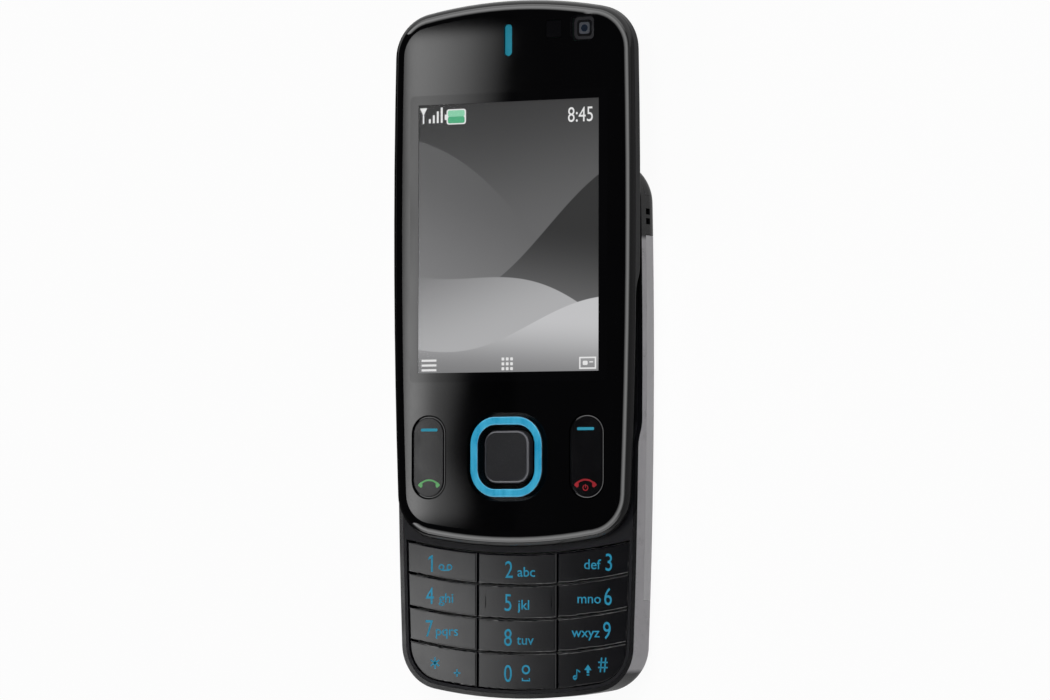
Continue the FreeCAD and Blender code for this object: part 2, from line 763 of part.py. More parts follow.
def shield_can():
    """Pressed can over the radio parts."""
    body = new_body("shield_can", -1)
    pad(body, "can", shield_plan, board_top, shield_top)
    cut(body, "inside", shield_inside, board_top - fit, shield_top - shell_sheet)


shield_top = size("shield_top", 7.5, "top of the shield can")
shield_width = size("shield_width", 30, "shield can across")
shield_length = size("shield_length", 28, "shield can along")
shield_place = size("shield_place", 12, "shield can from the middle of the lower half")


def shield_plan(sketch):
    rounded_rectangle(sketch, nothing, shield_place, shield_width, shield_length, front_wall)


def shield_inside(sketch):
    sheet_gap = shell_sheet * 2
    rounded_rectangle(sketch, nothing, shield_place, shield_width - sheet_gap, shield_length - sheet_gap,
                      front_wall - shell_sheet)


cover_inset = band_wall + seam
bed_floor = size("bed_floor", 7.65, "underside of the keypad cover")
field_inset = size("field_inset", 1.3, "key field from the case outline")
field_top = size("field_top", -21.2, "upper edge of the key field on the middle line")
row_radius = size("row_radius", 100, "bow of the key rows")
base_width = size("base_width", 36.6, "slide base across")
base_low = size("base_low", 2.0, "lower end of the slide base")
base_high = size("base_high", 41.0, "upper end of the slide base")
base_sheet = size("base_sheet", 0.3, "sheet of the slide base")
base_bottom = size("base_bottom", 7.85, "underside of the slide base")
flex_width = size("flex_width", 9.0, "slide flex across")
flex_slot = size("flex_slot", 35.5, "where the flex dives into the lower half")


def keypad_cover():
    """Front cover of the lower half: frame round the keys, S step and slide bed."""
    body = new_body("keypad_cover", -1)
    above = rim_height + slide_gap
    pad(body, "block", lambda sk: case_outline(sk, cover_inset), bed_floor, rim_height)
    cut_from_side(body, "step", lambda sk: step_profile(sk, -seam, above), case_width * 2)
    cut(body, "field", key_field_opening, bed_floor - fit, above)
    cut(body, "bed", lambda sk: base_plan(sk, fit), base_bottom, rim_height)
    cut(body, "slot", flex_hole, bed_floor - fit, rim_height)
    cut(body, "screw_seats", lambda sk: base_screw_circles(sk, base_screw), bed_floor - fit, rim_height)
    cut(body, "under_ramp", under_ramp, bed_floor - fit, rim_height - front_wall)


def under_ramp(sketch):
    """Hollow underneath the high part, above the first key row."""
    high = step_low - front_wall
    low = field_top + front_wall * 2
    rectangle(sketch, nothing, (low + high) / 2, base_width, high - low)


def key_field_opening(sketch):
    """Opening for all keys, bounded by the bowed first row and the case outline."""
    case_outline_part(sketch, field_inset, field_top)


def case_outline_part(sketch, inset, level):
    """The lower part of the drawn-in case outline, closed by a bowed top edge."""
    gap = number(inset)
    side_reach = side_radius.value - gap
    centre_r = (half_width.value - side_radius.value, side_widest.value)
    centre_l = (-centre_r[0], centre_r[1])
    row_centre = (0.0, number(level) + row_radius.value)
    edge_x = half_width.value - gap
    for turn in range(20):
        edge_y = row_centre[1] - math.sqrt(row_radius.value ** 2 - edge_x ** 2)
        edge_x = centre_r[0] + math.sqrt(side_reach ** 2 - (edge_y - centre_r[1]) ** 2)
    right_corner = corner_centre(1, -1)
    left_corner = corner_centre(-1, -1)
    end_middle = (0.0, end_radius.value - half_length.value)
    small = corner_radius.value - gap

    right_side = tangent_point(centre_r, right_corner, side_reach)
    left_side = tangent_point(centre_l, left_corner, side_reach)
    right_end = tangent_point(end_middle, right_corner, end_radius.value - gap)
    left_end = tangent_point(end_middle, left_corner, end_radius.value - gap)
    arc_between(sketch, row_centre, row_radius.value, (-edge_x, edge_y), (edge_x, edge_y))
    arc_between(sketch, centre_l, side_reach, (-edge_x, edge_y), left_side)
    arc_between(sketch, left_corner, small, left_side, left_end)
    arc_between(sketch, end_middle, end_radius.value - gap, left_end, right_end)
    arc_between(sketch, right_corner, small, right_end, right_side)
    arc_between(sketch, centre_r, side_reach, right_side, (edge_x, edge_y))
    rule(sketch, "Coincident", 0, 1, 1, 1)
    rule(sketch, "Tangent", 1, 2, 2, 1)
    rule(sketch, "Tangent", 2, 2, 3, 1)
    rule(sketch, "Tangent", 3, 2, 4, 1)
    rule(sketch, "Tangent", 4, 2, 5, 1)
    rule(sketch, "Coincident", 5, 2, 0, 2)
    rule(sketch, "Radius", 0, row_radius)
    place(sketch, 0, 3, nothing, level + row_radius)
    rule(sketch, "Radius", 1, side_radius - inset)
    place(sketch, 1, 3, side_radius - half_width, side_widest)
    rule(sketch, "Radius", 5, side_radius - inset)
    place(sketch, 5, 3, half_width - side_radius, side_widest)
    rule(sketch, "Radius", 3, end_radius - inset)
    place(sketch, 3, 3, nothing, end_radius - half_length)
    rule(sketch, "Radius", 2, corner_radius - inset)
    rule(sketch, "Equal", 2, 4)


def base_plan(sketch, gap):
    """Plan of the slide base, grown by a gap."""
    middle = (base_low + base_high) / 2
    rounded_rectangle(sketch, nothing, middle, base_width + gap * 2, base_high - base_low + gap * 2,
                      seam + gap)


def flex_hole(sketch):
    """Slot that the flex goes through."""
    rectangle(sketch, nothing, flex_slot, flex_width + front_wall, flex_slot_length)


flex_slot_length = size("flex_slot_length", 1.6, "slot for the flex, along")
base_screw = size("base_screw", 0.5, "small screws, shaft radius")
base_screw_head = size("base_screw_head", 1.0, "small screws, head radius")
base_screw_across = size("base_screw_across", 12.0, "small screws from the middle line")
base_screw_low = size("base_screw_low", 4.5, "lower small screws")
base_screw_high = size("base_screw_high", 38.5, "upper small screws")


def base_screw_circles(sketch, radius):
    for side in (-1, 1):
        circle(sketch, base_screw_across * side, base_screw_low, radius)
        circle(sketch, base_screw_across * side, base_screw_high, radius)


runner_low = size("runner_low", 2.6, "lower end of the runners, from the middle of the upper half")
runner_high = size("runner_high", 15.8, "upper end of the runners")
runner_foot = size("runner_foot", 1.0, "foot of a runner, across")
rail_lip = size("rail_lip", 1.1, "lip of a rail, across")


def slide_base():
    """Steel plate with a C-shaped rail folded up along each side."""
    body = new_body("slide_base", -1)
    length = base_high - base_low
    for side in (-1, 1):
        name = "left" if side < 0 else "right"
        sketch = end_sketch(body, name + "_sketch", base_high)
        outer = base_width / 2 * side
        inner = (base_width / 2 - base_sheet) * side
        lip = (base_width / 2 - base_sheet - rail_lip) * side
        floor_line = base_bottom + base_sheet
        under_lip = thick_back - fit - base_sheet
        over_lip = thick_back - fit
        polygon(sketch, [
            (lip, over_lip), (lip, under_lip), (inner, under_lip), (inner, floor_line),
            (nothing, floor_line), (nothing, base_bottom), (outer, base_bottom), (outer, over_lip)])
        feature = body.newObject("PartDesign::Pad", "slide_base_" + name)
        feature.Profile = sketch
        feature.setExpression("Length", length.formula)
    cut(body, "windows", base_windows, bed_floor, rim_height)
    cut(body, "screw_holes", lambda sk: base_screw_circles(sk, base_screw + fit), bed_floor, rim_height)


def base_windows(sketch):
    """Window for the folded flex, from the slot down past the fold."""
    low = flex_slot - flex_run
    middle = (low + flex_slot) / 2
    width = flex_width + front_wall * 2
    rounded_rectangle(sketch, nothing, middle, width, flex_run + front_wall * 4, front_wall)


flex_run = size("flex_run", 18.0, "flex, from its slot to its fold, phone open")
flex_sheet = size("flex_sheet", 0.12, "thickness of the flex")


def slide_flex():
    """Flat flex with one fold that rolls as the phone opens, drawn with the phone open."""
    body = new_body("slide_flex", -1)
    low_run = base_bottom + fit
    high_run = thick_back - fit - flex_sheet
    fold = flex_slot - flex_run
    outer = (high_run + flex_sheet - low_run) / 2

    def ribbon(sketch):
        polygon(sketch, [
            (flex_slot, board_top + fit), (flex_slot + flex_sheet, board_top + fit),
            (flex_slot + flex_sheet, low_run + flex_sheet), (fold + flex_sheet, low_run + flex_sheet),
            (fold + flex_sheet, high_run), (flex_slot + flex_sheet, high_run),
            (flex_slot + flex_sheet, flex_top), (flex_slot, flex_top), (flex_slot, high_run + flex_sheet),
            (fold, high_run + flex_sheet), (fold, low_run), (flex_slot, low_run)])

    ribbon_pad = pad_from_side(body, "ribbon", ribbon, flex_width)
    radius = outer - flex_sheet * 1.5

    def at_line(place_y):
        def chosen(edge):
            box = edge.BoundBox
            level = abs(box.YMin - place_y) < 0.001 and abs(box.YMax - place_y) < 0.001
            return level and abs(box.XMax - box.XMin) > 1
        return chosen

    inner = round_edges(body, "inner_fold", ribbon_pad, at_line(number(fold + flex_sheet)), radius)
    round_edges(body, "outer_fold", inner, at_line(number(fold)), radius + flex_sheet)


flex_top = size("flex_top", 9.75, "upper end of the flex, under the upper board")


def slide_springs():
    """Two flat zigzag wire springs between studs on the slide base and on the slide plate."""
    body = new_body("slide_springs", -1)
    low = base_bottom + base_sheet + fit

    def wires(sketch):
        for side in (-1, 1):
            zigzag(sketch, side)

    pad(body, "wires", wires, low, low + spring_wire)


spring_wire = size("spring_wire", 0.35, "wire of the slide springs")
spring_inner = size("spring_inner", 7.4, "slide springs, nearest the middle line")
spring_outer = size("spring_outer", 14.8, "slide springs, furthest from the middle line")
spring_low = size("spring_low", 12.0, "lower end of the slide springs")
spring_pitch = size("spring_pitch", 3.4, "from one bend of a slide spring to the next")


def zigzag(sketch, side):
    """Outline of one zigzag wire with three bends."""
    near = spring_inner * side
    far = spring_outer * side
    wire = spring_wire * 2.5
    line = []
    back = []
    for turn in range(5):
        across = near if turn % 2 == 0 else far
        along = spring_low + spring_pitch * turn
        line.append((across, along))
        back.insert(0, (across + wire, along))
    polygon(sketch, line + back)


def screw_group(label, half, places, shaft, head, low, high, head_thick, head_down):
    """Identical screws, one node of separate solids. The head is at the low or the high end."""
    group = doc.addObject("Part::Compound", label)
    group.Label = label
    links = []
    for at, (across, along) in enumerate(places):
        name = label + "_" + str(at + 1)
        stem = doc.addObject("Part::Cylinder", name + "_stem")
        stem.setExpression("Radius", shaft.formula)
        stem.setExpression("Height", (high - low).formula)
        stem.setExpression("Placement.Base.z", low.formula)
        cap = doc.addObject("Part::Cylinder", name + "_head")
        cap.setExpression("Radius", head.formula)
        cap.setExpression("Height", head_thick.formula)
        cap_low = low if head_down else high - head_thick
        cap.setExpression("Placement.Base.z", cap_low.formula)
        for item in (stem, cap):
            item.setExpression("Placement.Base.x", across.formula)
            item.setExpression("Placement.Base.y", along.formula)
        screw = doc.addObject("Part::Fuse", name)
        screw.Base = stem
        screw.Tool = cap
        links.append(screw)
    group.Links = links
    group.setExpression("Placement.Base.y", (half_travel * half).formula)


def four_places(across, low, high):
    return [(-across, low), (across, low), (-across, high), (across, high)]


def keypad_board():
    """Board under the keys, its dome sheet and the rubber mat."""
    body = new_body("keypad_board", -1)
    pad(body, "board", lambda sk: case_outline_part(sk, field_inset + front_wall, field_top - fit),
        bed_floor, mat_board_top)
    body = new_body("keypad_dome_sheet", -1)
    sheet_top = mat_board_top + dome_sheet
    pad(body, "sheet", lambda sk: case_outline_part(sk, field_inset + side_wall, field_top - fit),
        mat_board_top, sheet_top)
    pad(body, "domes", lambda sk: key_centres(sk, dome_radius), sheet_top - dome_sheet / 2,
        sheet_top + dome_rise)
    body = new_body("keypad_mat", -1)
    pad(body, "mat", lambda sk: case_outline_part(sk, field_inset + front_wall, field_top - fit),
        sheet_top + dome_rise, key_bottom - key_travel - seam)


mat_board_top = size("mat_board_top", 7.95, "top of the keypad board")
dome_sheet = size("dome_sheet", 0.1, "dome sheets")
dome_rise = size("dome_rise", 0.15, "height of a dome")
dome_radius = size("dome_radius", 2.0, "radius of a dome")
key_bottom = size("key_bottom", 8.7, "underside of the dial keys")
key_top = size("key_top", 9.85, "top of the dial keys")
key_travel = size("key_travel", 0.25, "how far a key can be pressed")
column_line = size("column_line", 7.4, "line between two key columns")
cell_gap = size("cell_gap", 0.32, "gap between two keys")
key_bevel = size("key_bevel", 0.22, "rounded edge of a key")
first_row = size("first_row", -21.35, "upper line of the first key row, on the middle line")
first_pitch = size("first_pitch", 5.25, "first key row along the phone")
row_pitch = size("row_pitch", 5.6, "other key rows along the phone")
side_column = size("side_column", 14.2, "middle of a side column")
stem_radius = size("stem_radius", 1.3, "stem of the select key, and barrel of the front camera")


def row_line(row):
    """The line above a row, on the middle line of the phone."""
    if row == 0:
        return first_row
    return first_row - first_pitch - row_pitch * (row - 1)


def key_centres(sketch, radius):
    for row in range(4):
        middle = (row_line(row) + row_line(row + 1)) / 2
        for column in (-1, 0, 1):
            across = side_column * column if column else nothing
            circle(sketch, across, middle + (front_wall if column else nothing), radius)


def key_cell(sketch, column, row):
    """One key cell: two straight sides and two bowed rows."""
    half_gap = cell_gap / 2
    top_level = row_line(row) - half_gap
    low_level = row_line(row + 1) + half_gap
    if row == 3:
        low_level = low_level - row_pitch
    if column == 0:
        left = -column_line + half_gap
        right = column_line - half_gap
    elif column < 0:
        left = -half_width
        right = -column_line - half_gap
    else:
        left = column_line + half_gap
        right = half_width
    bow = row_radius.value

    def height(level, across):
        return number(level) + bow - math.sqrt(bow ** 2 - number(across) ** 2)

    low_left = (left.value, height(low_level, left))
    low_right = (right.value, height(low_level, right))
    top_left = (left.value, height(top_level, left))
    top_right = (right.value, height(top_level, right))
    arc_between(sketch, (0.0, number(low_level) + bow), bow, low_left, low_right)
    sketch.addGeometry(Part.LineSegment(vector(*low_right), vector(*top_right)), False)
    arc_between(sketch, (0.0, number(top_level) + bow), bow, top_left, top_right)
    sketch.addGeometry(Part.LineSegment(vector(*top_left), vector(*low_left)), False)
    rule(sketch, "Coincident", 0, 2, 1, 1)
    rule(sketch, "Coincident", 1, 2, 2, 2)
    rule(sketch, "Coincident", 2, 1, 3, 1)
    rule(sketch, "Coincident", 3, 2, 0, 1)
    rule(sketch, "Vertical", 1)
    rule(sketch, "Vertical", 3)
    rule(sketch, "DistanceX", -1, 1, 1, 1, right)
    rule(sketch, "DistanceX", -1, 1, 3, 1, left)
    rule(sketch, "Radius", 0, row_radius)
    rule(sketch, "Radius", 2, row_radius)
    place(sketch, 0, 3, nothing, low_level + row_radius)
    place(sketch, 2, 3, nothing, top_level + row_radius)


def outside_field(sketch):
    """A frame round the key field, to trim the outer keys."""
    case_outline(sketch, field_inset + key_gap)
    rectangle(sketch, nothing, nothing, case_width * 2, case_length * 2)


def dial_key(label, column, row):
    """One dial key: bowed top and bottom edges and a rounded rim."""
    body = new_body(label, -1)
    last = pad(body, "top", lambda sk: key_cell(sk, column, row), key_bottom, key_top)
    if column != 0 or row == 3:
        last = cut(body, "trim", outside_field, key_bottom - fit, key_top + fit)
    round_edges(body, "rim", last, flat_at(key_top), key_bevel)
    if label == "key_5":
        pad(body, "marks", finger_marks, key_top - fit, key_top + mark_height)


mark_height = size("mark_height", 0.12, "finger marks of key 5 above the key")
mark_place = size("mark_place", 6.1, "finger marks from the middle line")
mark_width = size("mark_width", 0.55, "finger marks across")
mark_length = size("mark_length", 2.0, "finger marks along")


def finger_marks(sketch):
    middle = (row_line(1) + row_line(2)) / 2
    for side in (-1, 1):
        rounded_rectangle(sketch, mark_place * side, middle, mark_width, mark_length, mark_width / 2.5)


def keys():
    names = ["1", "2", "3", "4", "5", "6", "7", "8", "9", "star", "0", "hash"]
    for at, name in enumerate(names):
        dial_key("key_" + name, at % 3 - 1, at // 3)


# Upper half

display_place = size("display_place", 5.95, "middle of the display, from the middle of the upper half")
display_width = size("display_width", 33.5, "picture across")
display_height = size("display_height", 44.7, "picture along")
window_border = size("window_border", 1.6, "window beyond the picture, each side")
lcd_border = size("lcd_border", 1.5, "display module beyond the picture, each side")
lcd_bottom = size("lcd_bottom", 11.1, "underside of the display module")
frame_wall = size("frame_wall", 1.2, "display frame")
keys_place = size("keys_place", -30.4, "middle of the navigation keys, from the middle of the upper half")
rocker_across = size("rocker_across", 14.65, "pill keys from the middle line")
rocker_width = size("rocker_width", 6.2, "pill keys across")
rocker_length = size("rocker_length", 13.7, "pill keys along")
well_width = size("well_width", 14.85, "well of the navigation ring across")
well_length = size("well_length", 14.6, "well of the navigation ring along")
well_corner = size("well_corner", 5.3, "corners of that well")
ring_width = size("ring_width", 13.4, "navigation ring outside, across and along")
ring_corner = size("ring_corner", 4.7, "navigation ring, outer corners")
ring_hole = size("ring_hole", 10.4, "navigation ring inside, across and along")
ring_hole_corner = size("ring_hole_corner", 3.2, "navigation ring, inner corners")
ring_top = size("ring_top", 14.1, "top of the navigation ring")
select_width = size("select_width", 8.3, "select key across")
select_length = size("select_length", 8.8, "select key along")
select_corner = size("select_corner", 2.2, "corners of the select key")
select_top = size("select_top", 13.9, "top of the select key")
ear_width = size("ear_width", 1.5, "earpiece slot across")
ear_length = size("ear_length", 5.3, "earpiece slot along")
ear_place = size("ear_place", 38.5, "earpiece slot from the middle of the upper half")
eye_across = size("eye_across", 13.65, "front camera from the middle line")
eye_place = size("eye_place", 39.95, "front camera from the middle of the upper half")
eye_width = size("eye_width", 4.3, "front camera window across and along")
sensor_across = size("sensor_across", 8.5, "light sensor from the middle line")
sensor_width = size("sensor_width", 2.9, "light sensor window across and along")


def pill(sketch, across, width, length, along):
    """A key outline with full round ends."""
    rounded_rectangle(sketch, across, along, width, length, width / 2 - lens_corner / 2)


def front_openings(sketch):
    """All openings of the front cover."""
    width = rocker_width + key_gap * 2
    for side in (-1, 1):
        pill(sketch, rocker_across * side, width, rocker_length + key_gap * 2, keys_place)
    rounded_rectangle(sketch, nothing, keys_place, well_width, well_length, well_corner)
    pill(sketch, nothing, ear_width, ear_length, ear_place)
    window_plan(sketch, fit / 2)
    eye_plan(sketch, fit / 2)
    sensor_plan(sketch, fit / 2)


def window_plan(sketch, gap):
    width = display_width + window_border * 2 + gap * 2
    height = display_height + window_border * 2 + gap * 2
    rounded_rectangle(sketch, nothing, display_place, width, height, front_wall + gap)


def eye_plan(sketch, gap):
    width = eye_width + gap * 2
    rounded_rectangle(sketch, eye_across, eye_place, width, width, front_wall + gap)


def sensor_plan(sketch, gap):
    width = sensor_width + gap * 2
    rounded_rectangle(sketch, sensor_across, eye_place, width, width, front_wall / 2 + gap)


def front_cover():
    """Glossy front cover with the rolled edge and all its openings."""
    body = new_body("front_cover", 1)
    block = pad(body, "block", lambda sk: case_outline(sk, nothing), parting_height - front_wall, face_height)
    round_edges(body, "roll", block, flat_at(face_height), roll_radius)
    cut(body, "parting", lambda sk: rectangle(sk, nothing, nothing, case_width * 2, case_length * 2),
        nothing, parting_height)
    cut(body, "skirt_inside", lambda sk: case_outline(sk, side_wall), nothing, shelf_height)
    cut(body, "inside", lambda sk: case_outline(sk, lining), nothing, under_face)
    cut(body, "openings", front_openings, parting_height, face_height + fit)


shelf_height = size("shelf_height", 11.8, "height at which the front cover gets its thin sides")


def display_window():
    body = new_body("display_window", 1)
    pad(body, "pane", lambda sk: window_plan(sk, -fit / 2), under_face, face_height)


def lcd_module():
    """Display module: the glass in its thin metal tray."""
    body = new_body("lcd_module", 1)
    width = display_width + lcd_border * 2
    height = display_height + lcd_border * 2
    pad(body, "tray", lambda sk: rounded_rectangle(sk, nothing, display_place, width, height, front_wall / 2),
        lcd_bottom, under_face - fit)


def display_frame():
    """Frame that holds the display module under the window."""
    body = new_body("display_frame", 1)
    width = display_width + lcd_border * 2 + fit * 2
    height = display_height + lcd_border * 2 + fit * 2
    over_width = width + frame_wall
    over_height = height + frame_wall * 2

    def plan(sketch):
        rounded_rectangle(sketch, nothing, display_place, over_width, over_height, frame_wall)
        rounded_rectangle(sketch, nothing, display_place, width, height, front_wall / 2)

    pad(body, "ring", plan, thin_floor + fit, under_face)


thin_floor = thin_back + thin_wall
thick_floor = thick_back + plate_wall


def upper_rear_cover():
    """Rear cover of the upper half: S step underneath, thick end and thin end hollowed apart."""
    body = new_body("upper_rear_cover", 1)
    block = pad(body, "block", lambda sk: case_outline(sk, nothing), thick_back, parting_height - seam)
    step = cut_from_side(body, "step", lambda sk: step_profile(sk, slide_gap, nothing), case_width * 2)

    def rear_edge(edge):
        box = edge.BoundBox
        middle = edge.valueAt((edge.FirstParameter + edge.LastParameter) / 2)
        low = box.ZMax < thin_floor.value
        wide = box.XMax - box.XMin > case_width.value / 2
        at_side = abs(middle.x) > half_width.value - corner_radius.value / 2
        at_end = abs(middle.y) > half_length.value - corner_radius.value
        return low and (at_side or at_end) and not (wide and not at_end)

    round_edges(body, "edge", step, rear_edge, rear_edge_round)
    cut(body, "thin_inside", lambda sk: case_outline(sk, rear_inset), thin_floor, parting_height)
    cut(body, "thick_inside", thick_room, thick_floor, thin_floor + fit)
    cut(body, "plate_seat", lambda sk: plate_plan(sk, fit), nothing, plate_top)
    cut(body, "slot", upper_flex_hole, nothing, parting_height)
    cut(body, "screw_seats", lambda sk: plate_screw_circles(sk, base_screw), nothing, thick_floor)


rear_inset = size("rear_inset", 1.2, "walls of the upper rear cover")
plate_sheet = size("plate_sheet", 0.35, "sheet of the slide plate")
plate_top = thick_back + plate_sheet
plate_width = size("plate_width", 34.4, "slide plate across")
plate_low = size("plate_low", 1.9, "lower end of the slide plate")
plate_high = size("plate_high", 19.4, "upper end of the slide plate")
plate_screw_low = size("plate_screw_low", 4.2, "lower screws of the slide plate")
plate_screw_high = size("plate_screw_high", 17.0, "upper screws of the slide plate")


def thick_room(sketch):
    """Room in the thick end, beyond the S step."""
    low = step_high + side_wall
    high = half_length - end_wall
    side = half_width - corner_wall
    rounded_rectangle(sketch, nothing, (low + high) / 2, side * 2, high - low, corner_wall)


end_wall = size("end_wall", 2.2, "end wall of the thick end")
corner_wall = size("corner_wall", 3.0, "side walls of the thick end")


def plate_plan(sketch, gap):
    middle = (plate_low + plate_high) / 2
    rounded_rectangle(sketch, nothing, middle, plate_width + gap * 2, plate_high - plate_low + gap * 2,
                      side_wall + gap)


def upper_flex_hole(sketch):
    """Slot of the upper half, over the other slot while the phone is open."""
    rectangle(sketch, nothing, flex_slot - travel, flex_width + front_wall, flex_slot_length)


def plate_screw_circles(sketch, radius):
    for side in (-1, 1):
        circle(sketch, base_screw_across * side, plate_screw_low, radius)
        circle(sketch, base_screw_across * side, plate_screw_high, radius)


def slide_plate():
    """Steel plate of the upper half with two L-shaped runners inside the rails."""
    body = new_body("slide_plate", 1)
    pad(body, "plate", lambda sk: plate_plan(sk, nothing), thick_back + seam, plate_top)
    foot_low = base_bottom + base_sheet + fit
    foot_high = thick_back - fit - base_sheet - fit
    leg = base_width / 2 - base_sheet - rail_lip - fit
    foot = leg - base_sheet + runner_foot
    for side in (-1, 1):
        name = "left" if side < 0 else "right"
        sketch = end_sketch(body, name + "_sketch", runner_high)
        inner = leg - base_sheet
        polygon(sketch, [
            (inner * side, plate_top - seam), (leg * side, plate_top - seam), (leg * side, foot_high),
            ((foot + fit) * side, foot_high), ((foot + fit) * side, foot_low), (inner * side, foot_low)])
        feature = body.newObject("PartDesign::Pad", "slide_plate_" + name)
        feature.Profile = sketch
        feature.setExpression("Length", (runner_high - runner_low).formula)
    cut(body, "slot", upper_flex_hole, nothing, parting_height)
    cut(body, "screw_holes", lambda sk: plate_screw_circles(sk, base_screw + fit), nothing, parting_height)


def upper_board():
    body = new_body("upper_board", 1)
    low = step_high + side_wall + fit
    high = half_length - end_wall - fit
    side = half_width - corner_wall - fit

    def plan(sketch):
        rounded_rectangle(sketch, nothing, (low + high) / 2, side * 2, high - low, corner_wall)

    pad(body, "board", plan, flex_top + fit, flex_top + fit + dome_sheet * 5)


def ui_board():
    """Board under the navigation keys, with its dome sheet."""
    body = new_body("ui_board", 1)
    pad(body, "board", ui_plan, thin_floor, ui_top)
    body = new_body("nav_dome_sheet", 1)
    pad(body, "sheet", ui_plan, ui_top, ui_top + dome_sheet)
    pad(body, "domes", nav_domes, ui_top + dome_sheet / 2, ui_top + dome_sheet + dome_rise)


ui_top = size("ui_top", 11.15, "top of the board under the navigation keys")
ui_low = size("ui_low", -41.5, "lower end of that board")
ui_high = size("ui_high", -20.6, "upper end of that board")
ui_width = size("ui_width", 37.0, "that board across")
nav_dome_radius = size("nav_dome_radius", 1.2, "radius of a dome under the upper keys")
nav_reach = size("nav_reach", 5.8, "direction domes from the middle of the ring")
rocker_reach = size("rocker_reach", 4.4, "domes of a pill key from its middle")


def ui_plan(sketch):
    middle = (ui_low + ui_high) / 2
    rounded_rectangle(sketch, nothing, middle, ui_width, ui_high - ui_low, corner_wall * 1.5)


def nav_domes(sketch):
    """Domes under the select key, the ring's four ways and both ends of each pill key."""
    small = nav_dome_radius
    circle(sketch, nothing, keys_place, small)
    for side in (-1, 1):
        circle(sketch, nav_reach * side, keys_place, small)
        circle(sketch, nothing, keys_place + nav_reach * side, small)
        for end in (-1, 1):
            circle(sketch, rocker_across * side, keys_place + rocker_reach * end, small)


flange_low = size("flange_low", 11.75, "underside of the flanges of the upper keys")
flange = size("flange", 0.35, "flanges of the upper keys")
flange_reach = size("flange_reach", 0.5, "flanges beyond the openings")


def nav_ring():
    """Four-way ring with the flange that keeps it under the front cover."""
    body = new_body("nav_ring", 1)
    pad(body, "flange", lambda sk: rounded_rectangle(sk, nothing, keys_place, well_width + flange_reach,
        well_length + flange_reach, well_corner), flange_low, flange_low + flange)
    ring = pad(body, "ring", lambda sk: rounded_rectangle(sk, nothing, keys_place, ring_width, ring_width,
               ring_corner), flange_low, ring_top)
    hole = cut(body, "hole", lambda sk: rounded_rectangle(sk, nothing, keys_place, ring_hole, ring_hole,
               ring_hole_corner), nothing, ring_top + fit)
    round_edges(body, "rim", hole, flat_at(ring_top), ring_round)


ring_round = size("ring_round", 0.45, "rounded edges of the navigation ring")
web_width = size("web_width", 7.8, "web under the select key across and along")
web_low = size("web_low", 11.5, "underside of that web")
web_hole = size("web_hole", 2.4, "hole of that web")


def nav_web():
    """Rocking web that carries the ring."""
    body = new_body("nav_web", 1)

    def plan(sketch):
        rounded_rectangle(sketch, nothing, keys_place, web_width, web_width, front_wall)
        circle(sketch, nothing, keys_place, web_hole)

    pad(body, "web", plan, web_low, web_low + dome_rise)


def select_key():
    """Select key with a stem through the web."""
    body = new_body("select_key", 1)
    pad(body, "stem", lambda sk: circle(sk, nothing, keys_place, stem_radius), flange_low, select_low + fit)
    top = pad(body, "cap", lambda sk: rounded_rectangle(sk, nothing, keys_place, select_width, select_length,
              select_corner), select_low, select_top)
    round_edges(body, "rim", top, flat_at(select_top), select_round)


select_low = size("select_low", 12.25, "underside of the select key")
select_round = size("select_round", 0.6, "rounded edge of the select key")
rocker_top = size("rocker_top", 13.6, "top of the pill keys")
rocker_round = size("rocker_round", 0.4, "rounded edge of the pill keys")


def rocker_key(label, side):
    """Pill-shaped key that rocks about its middle."""
    body = new_body(label, 1)
    across = rocker_across * side
    pad(body, "flange", lambda sk: pill(sk, across, rocker_width + flange_reach * 2,
        rocker_length + flange_reach * 2, keys_place), flange_low, flange_low + flange)
    top = pad(body, "cap", lambda sk: pill(sk, across, rocker_width, rocker_length, keys_place),
              flange_low, rocker_top)
    round_edges(body, "rim", top, flat_at(rocker_top), rocker_round)


def earpiece():
    """Earpiece capsule, grille and the front camera with its window."""
    block_piece("earpiece", 1, 0, 38.5, 12, 6.4, capsule_bottom, ear_top, 2.5)
    body = new_body("earpiece_grille", 1)
    pad(body, "mesh", lambda sk: pill(sk, nothing, ear_width - fit, ear_length - fit, ear_place),
        ear_top, face_height - fit * 4)
    cut(body, "holes", grille_holes, ear_top - fit, face_height)
    body = new_body("front_camera", 1)
    pad(body, "block", lambda sk: eye_plan(sk, fit), capsule_bottom, shelf_height - fit)
    pad(body, "barrel", lambda sk: circle(sk, eye_across, eye_place, stem_radius),
        shelf_height - front_wall, ear_top)
    cut(body, "lens", lambda sk: circle(sk, eye_across, eye_place, stem_radius / 2),
        ear_top - front_wall, ear_top + fit)
    body = new_body("front_camera_window", 1)
    pad(body, "pane", lambda sk: eye_plan(sk, -fit / 2), under_face, face_height)
    body = new_body("light_sensor_window", 1)
    pad(body, "pane", lambda sk: sensor_plan(sk, -fit / 2), under_face, face_height)


ear_top = size("ear_top", 12.5, "top of the earpiece and of the front camera")
capsule_bottom = size("capsule_bottom", 10.9, "underside of the earpiece and of the front camera")
grille_hole = size("grille_hole", 0.16, "holes of the earpiece grille, radius")
grille_across = size("grille_across", 0.384, "from one column of those holes to the next")
grille_along = size("grille_along", 0.512, "from one row of those holes to the next")


def grille_holes(sketch):
    """Three columns of nine holes."""
    for row in range(-4, 5):
        for column in (-1, 0, 1):
            across = grille_across * column if column else nothing
            circle(sketch, across, ear_place + grille_along * row, grille_hole)


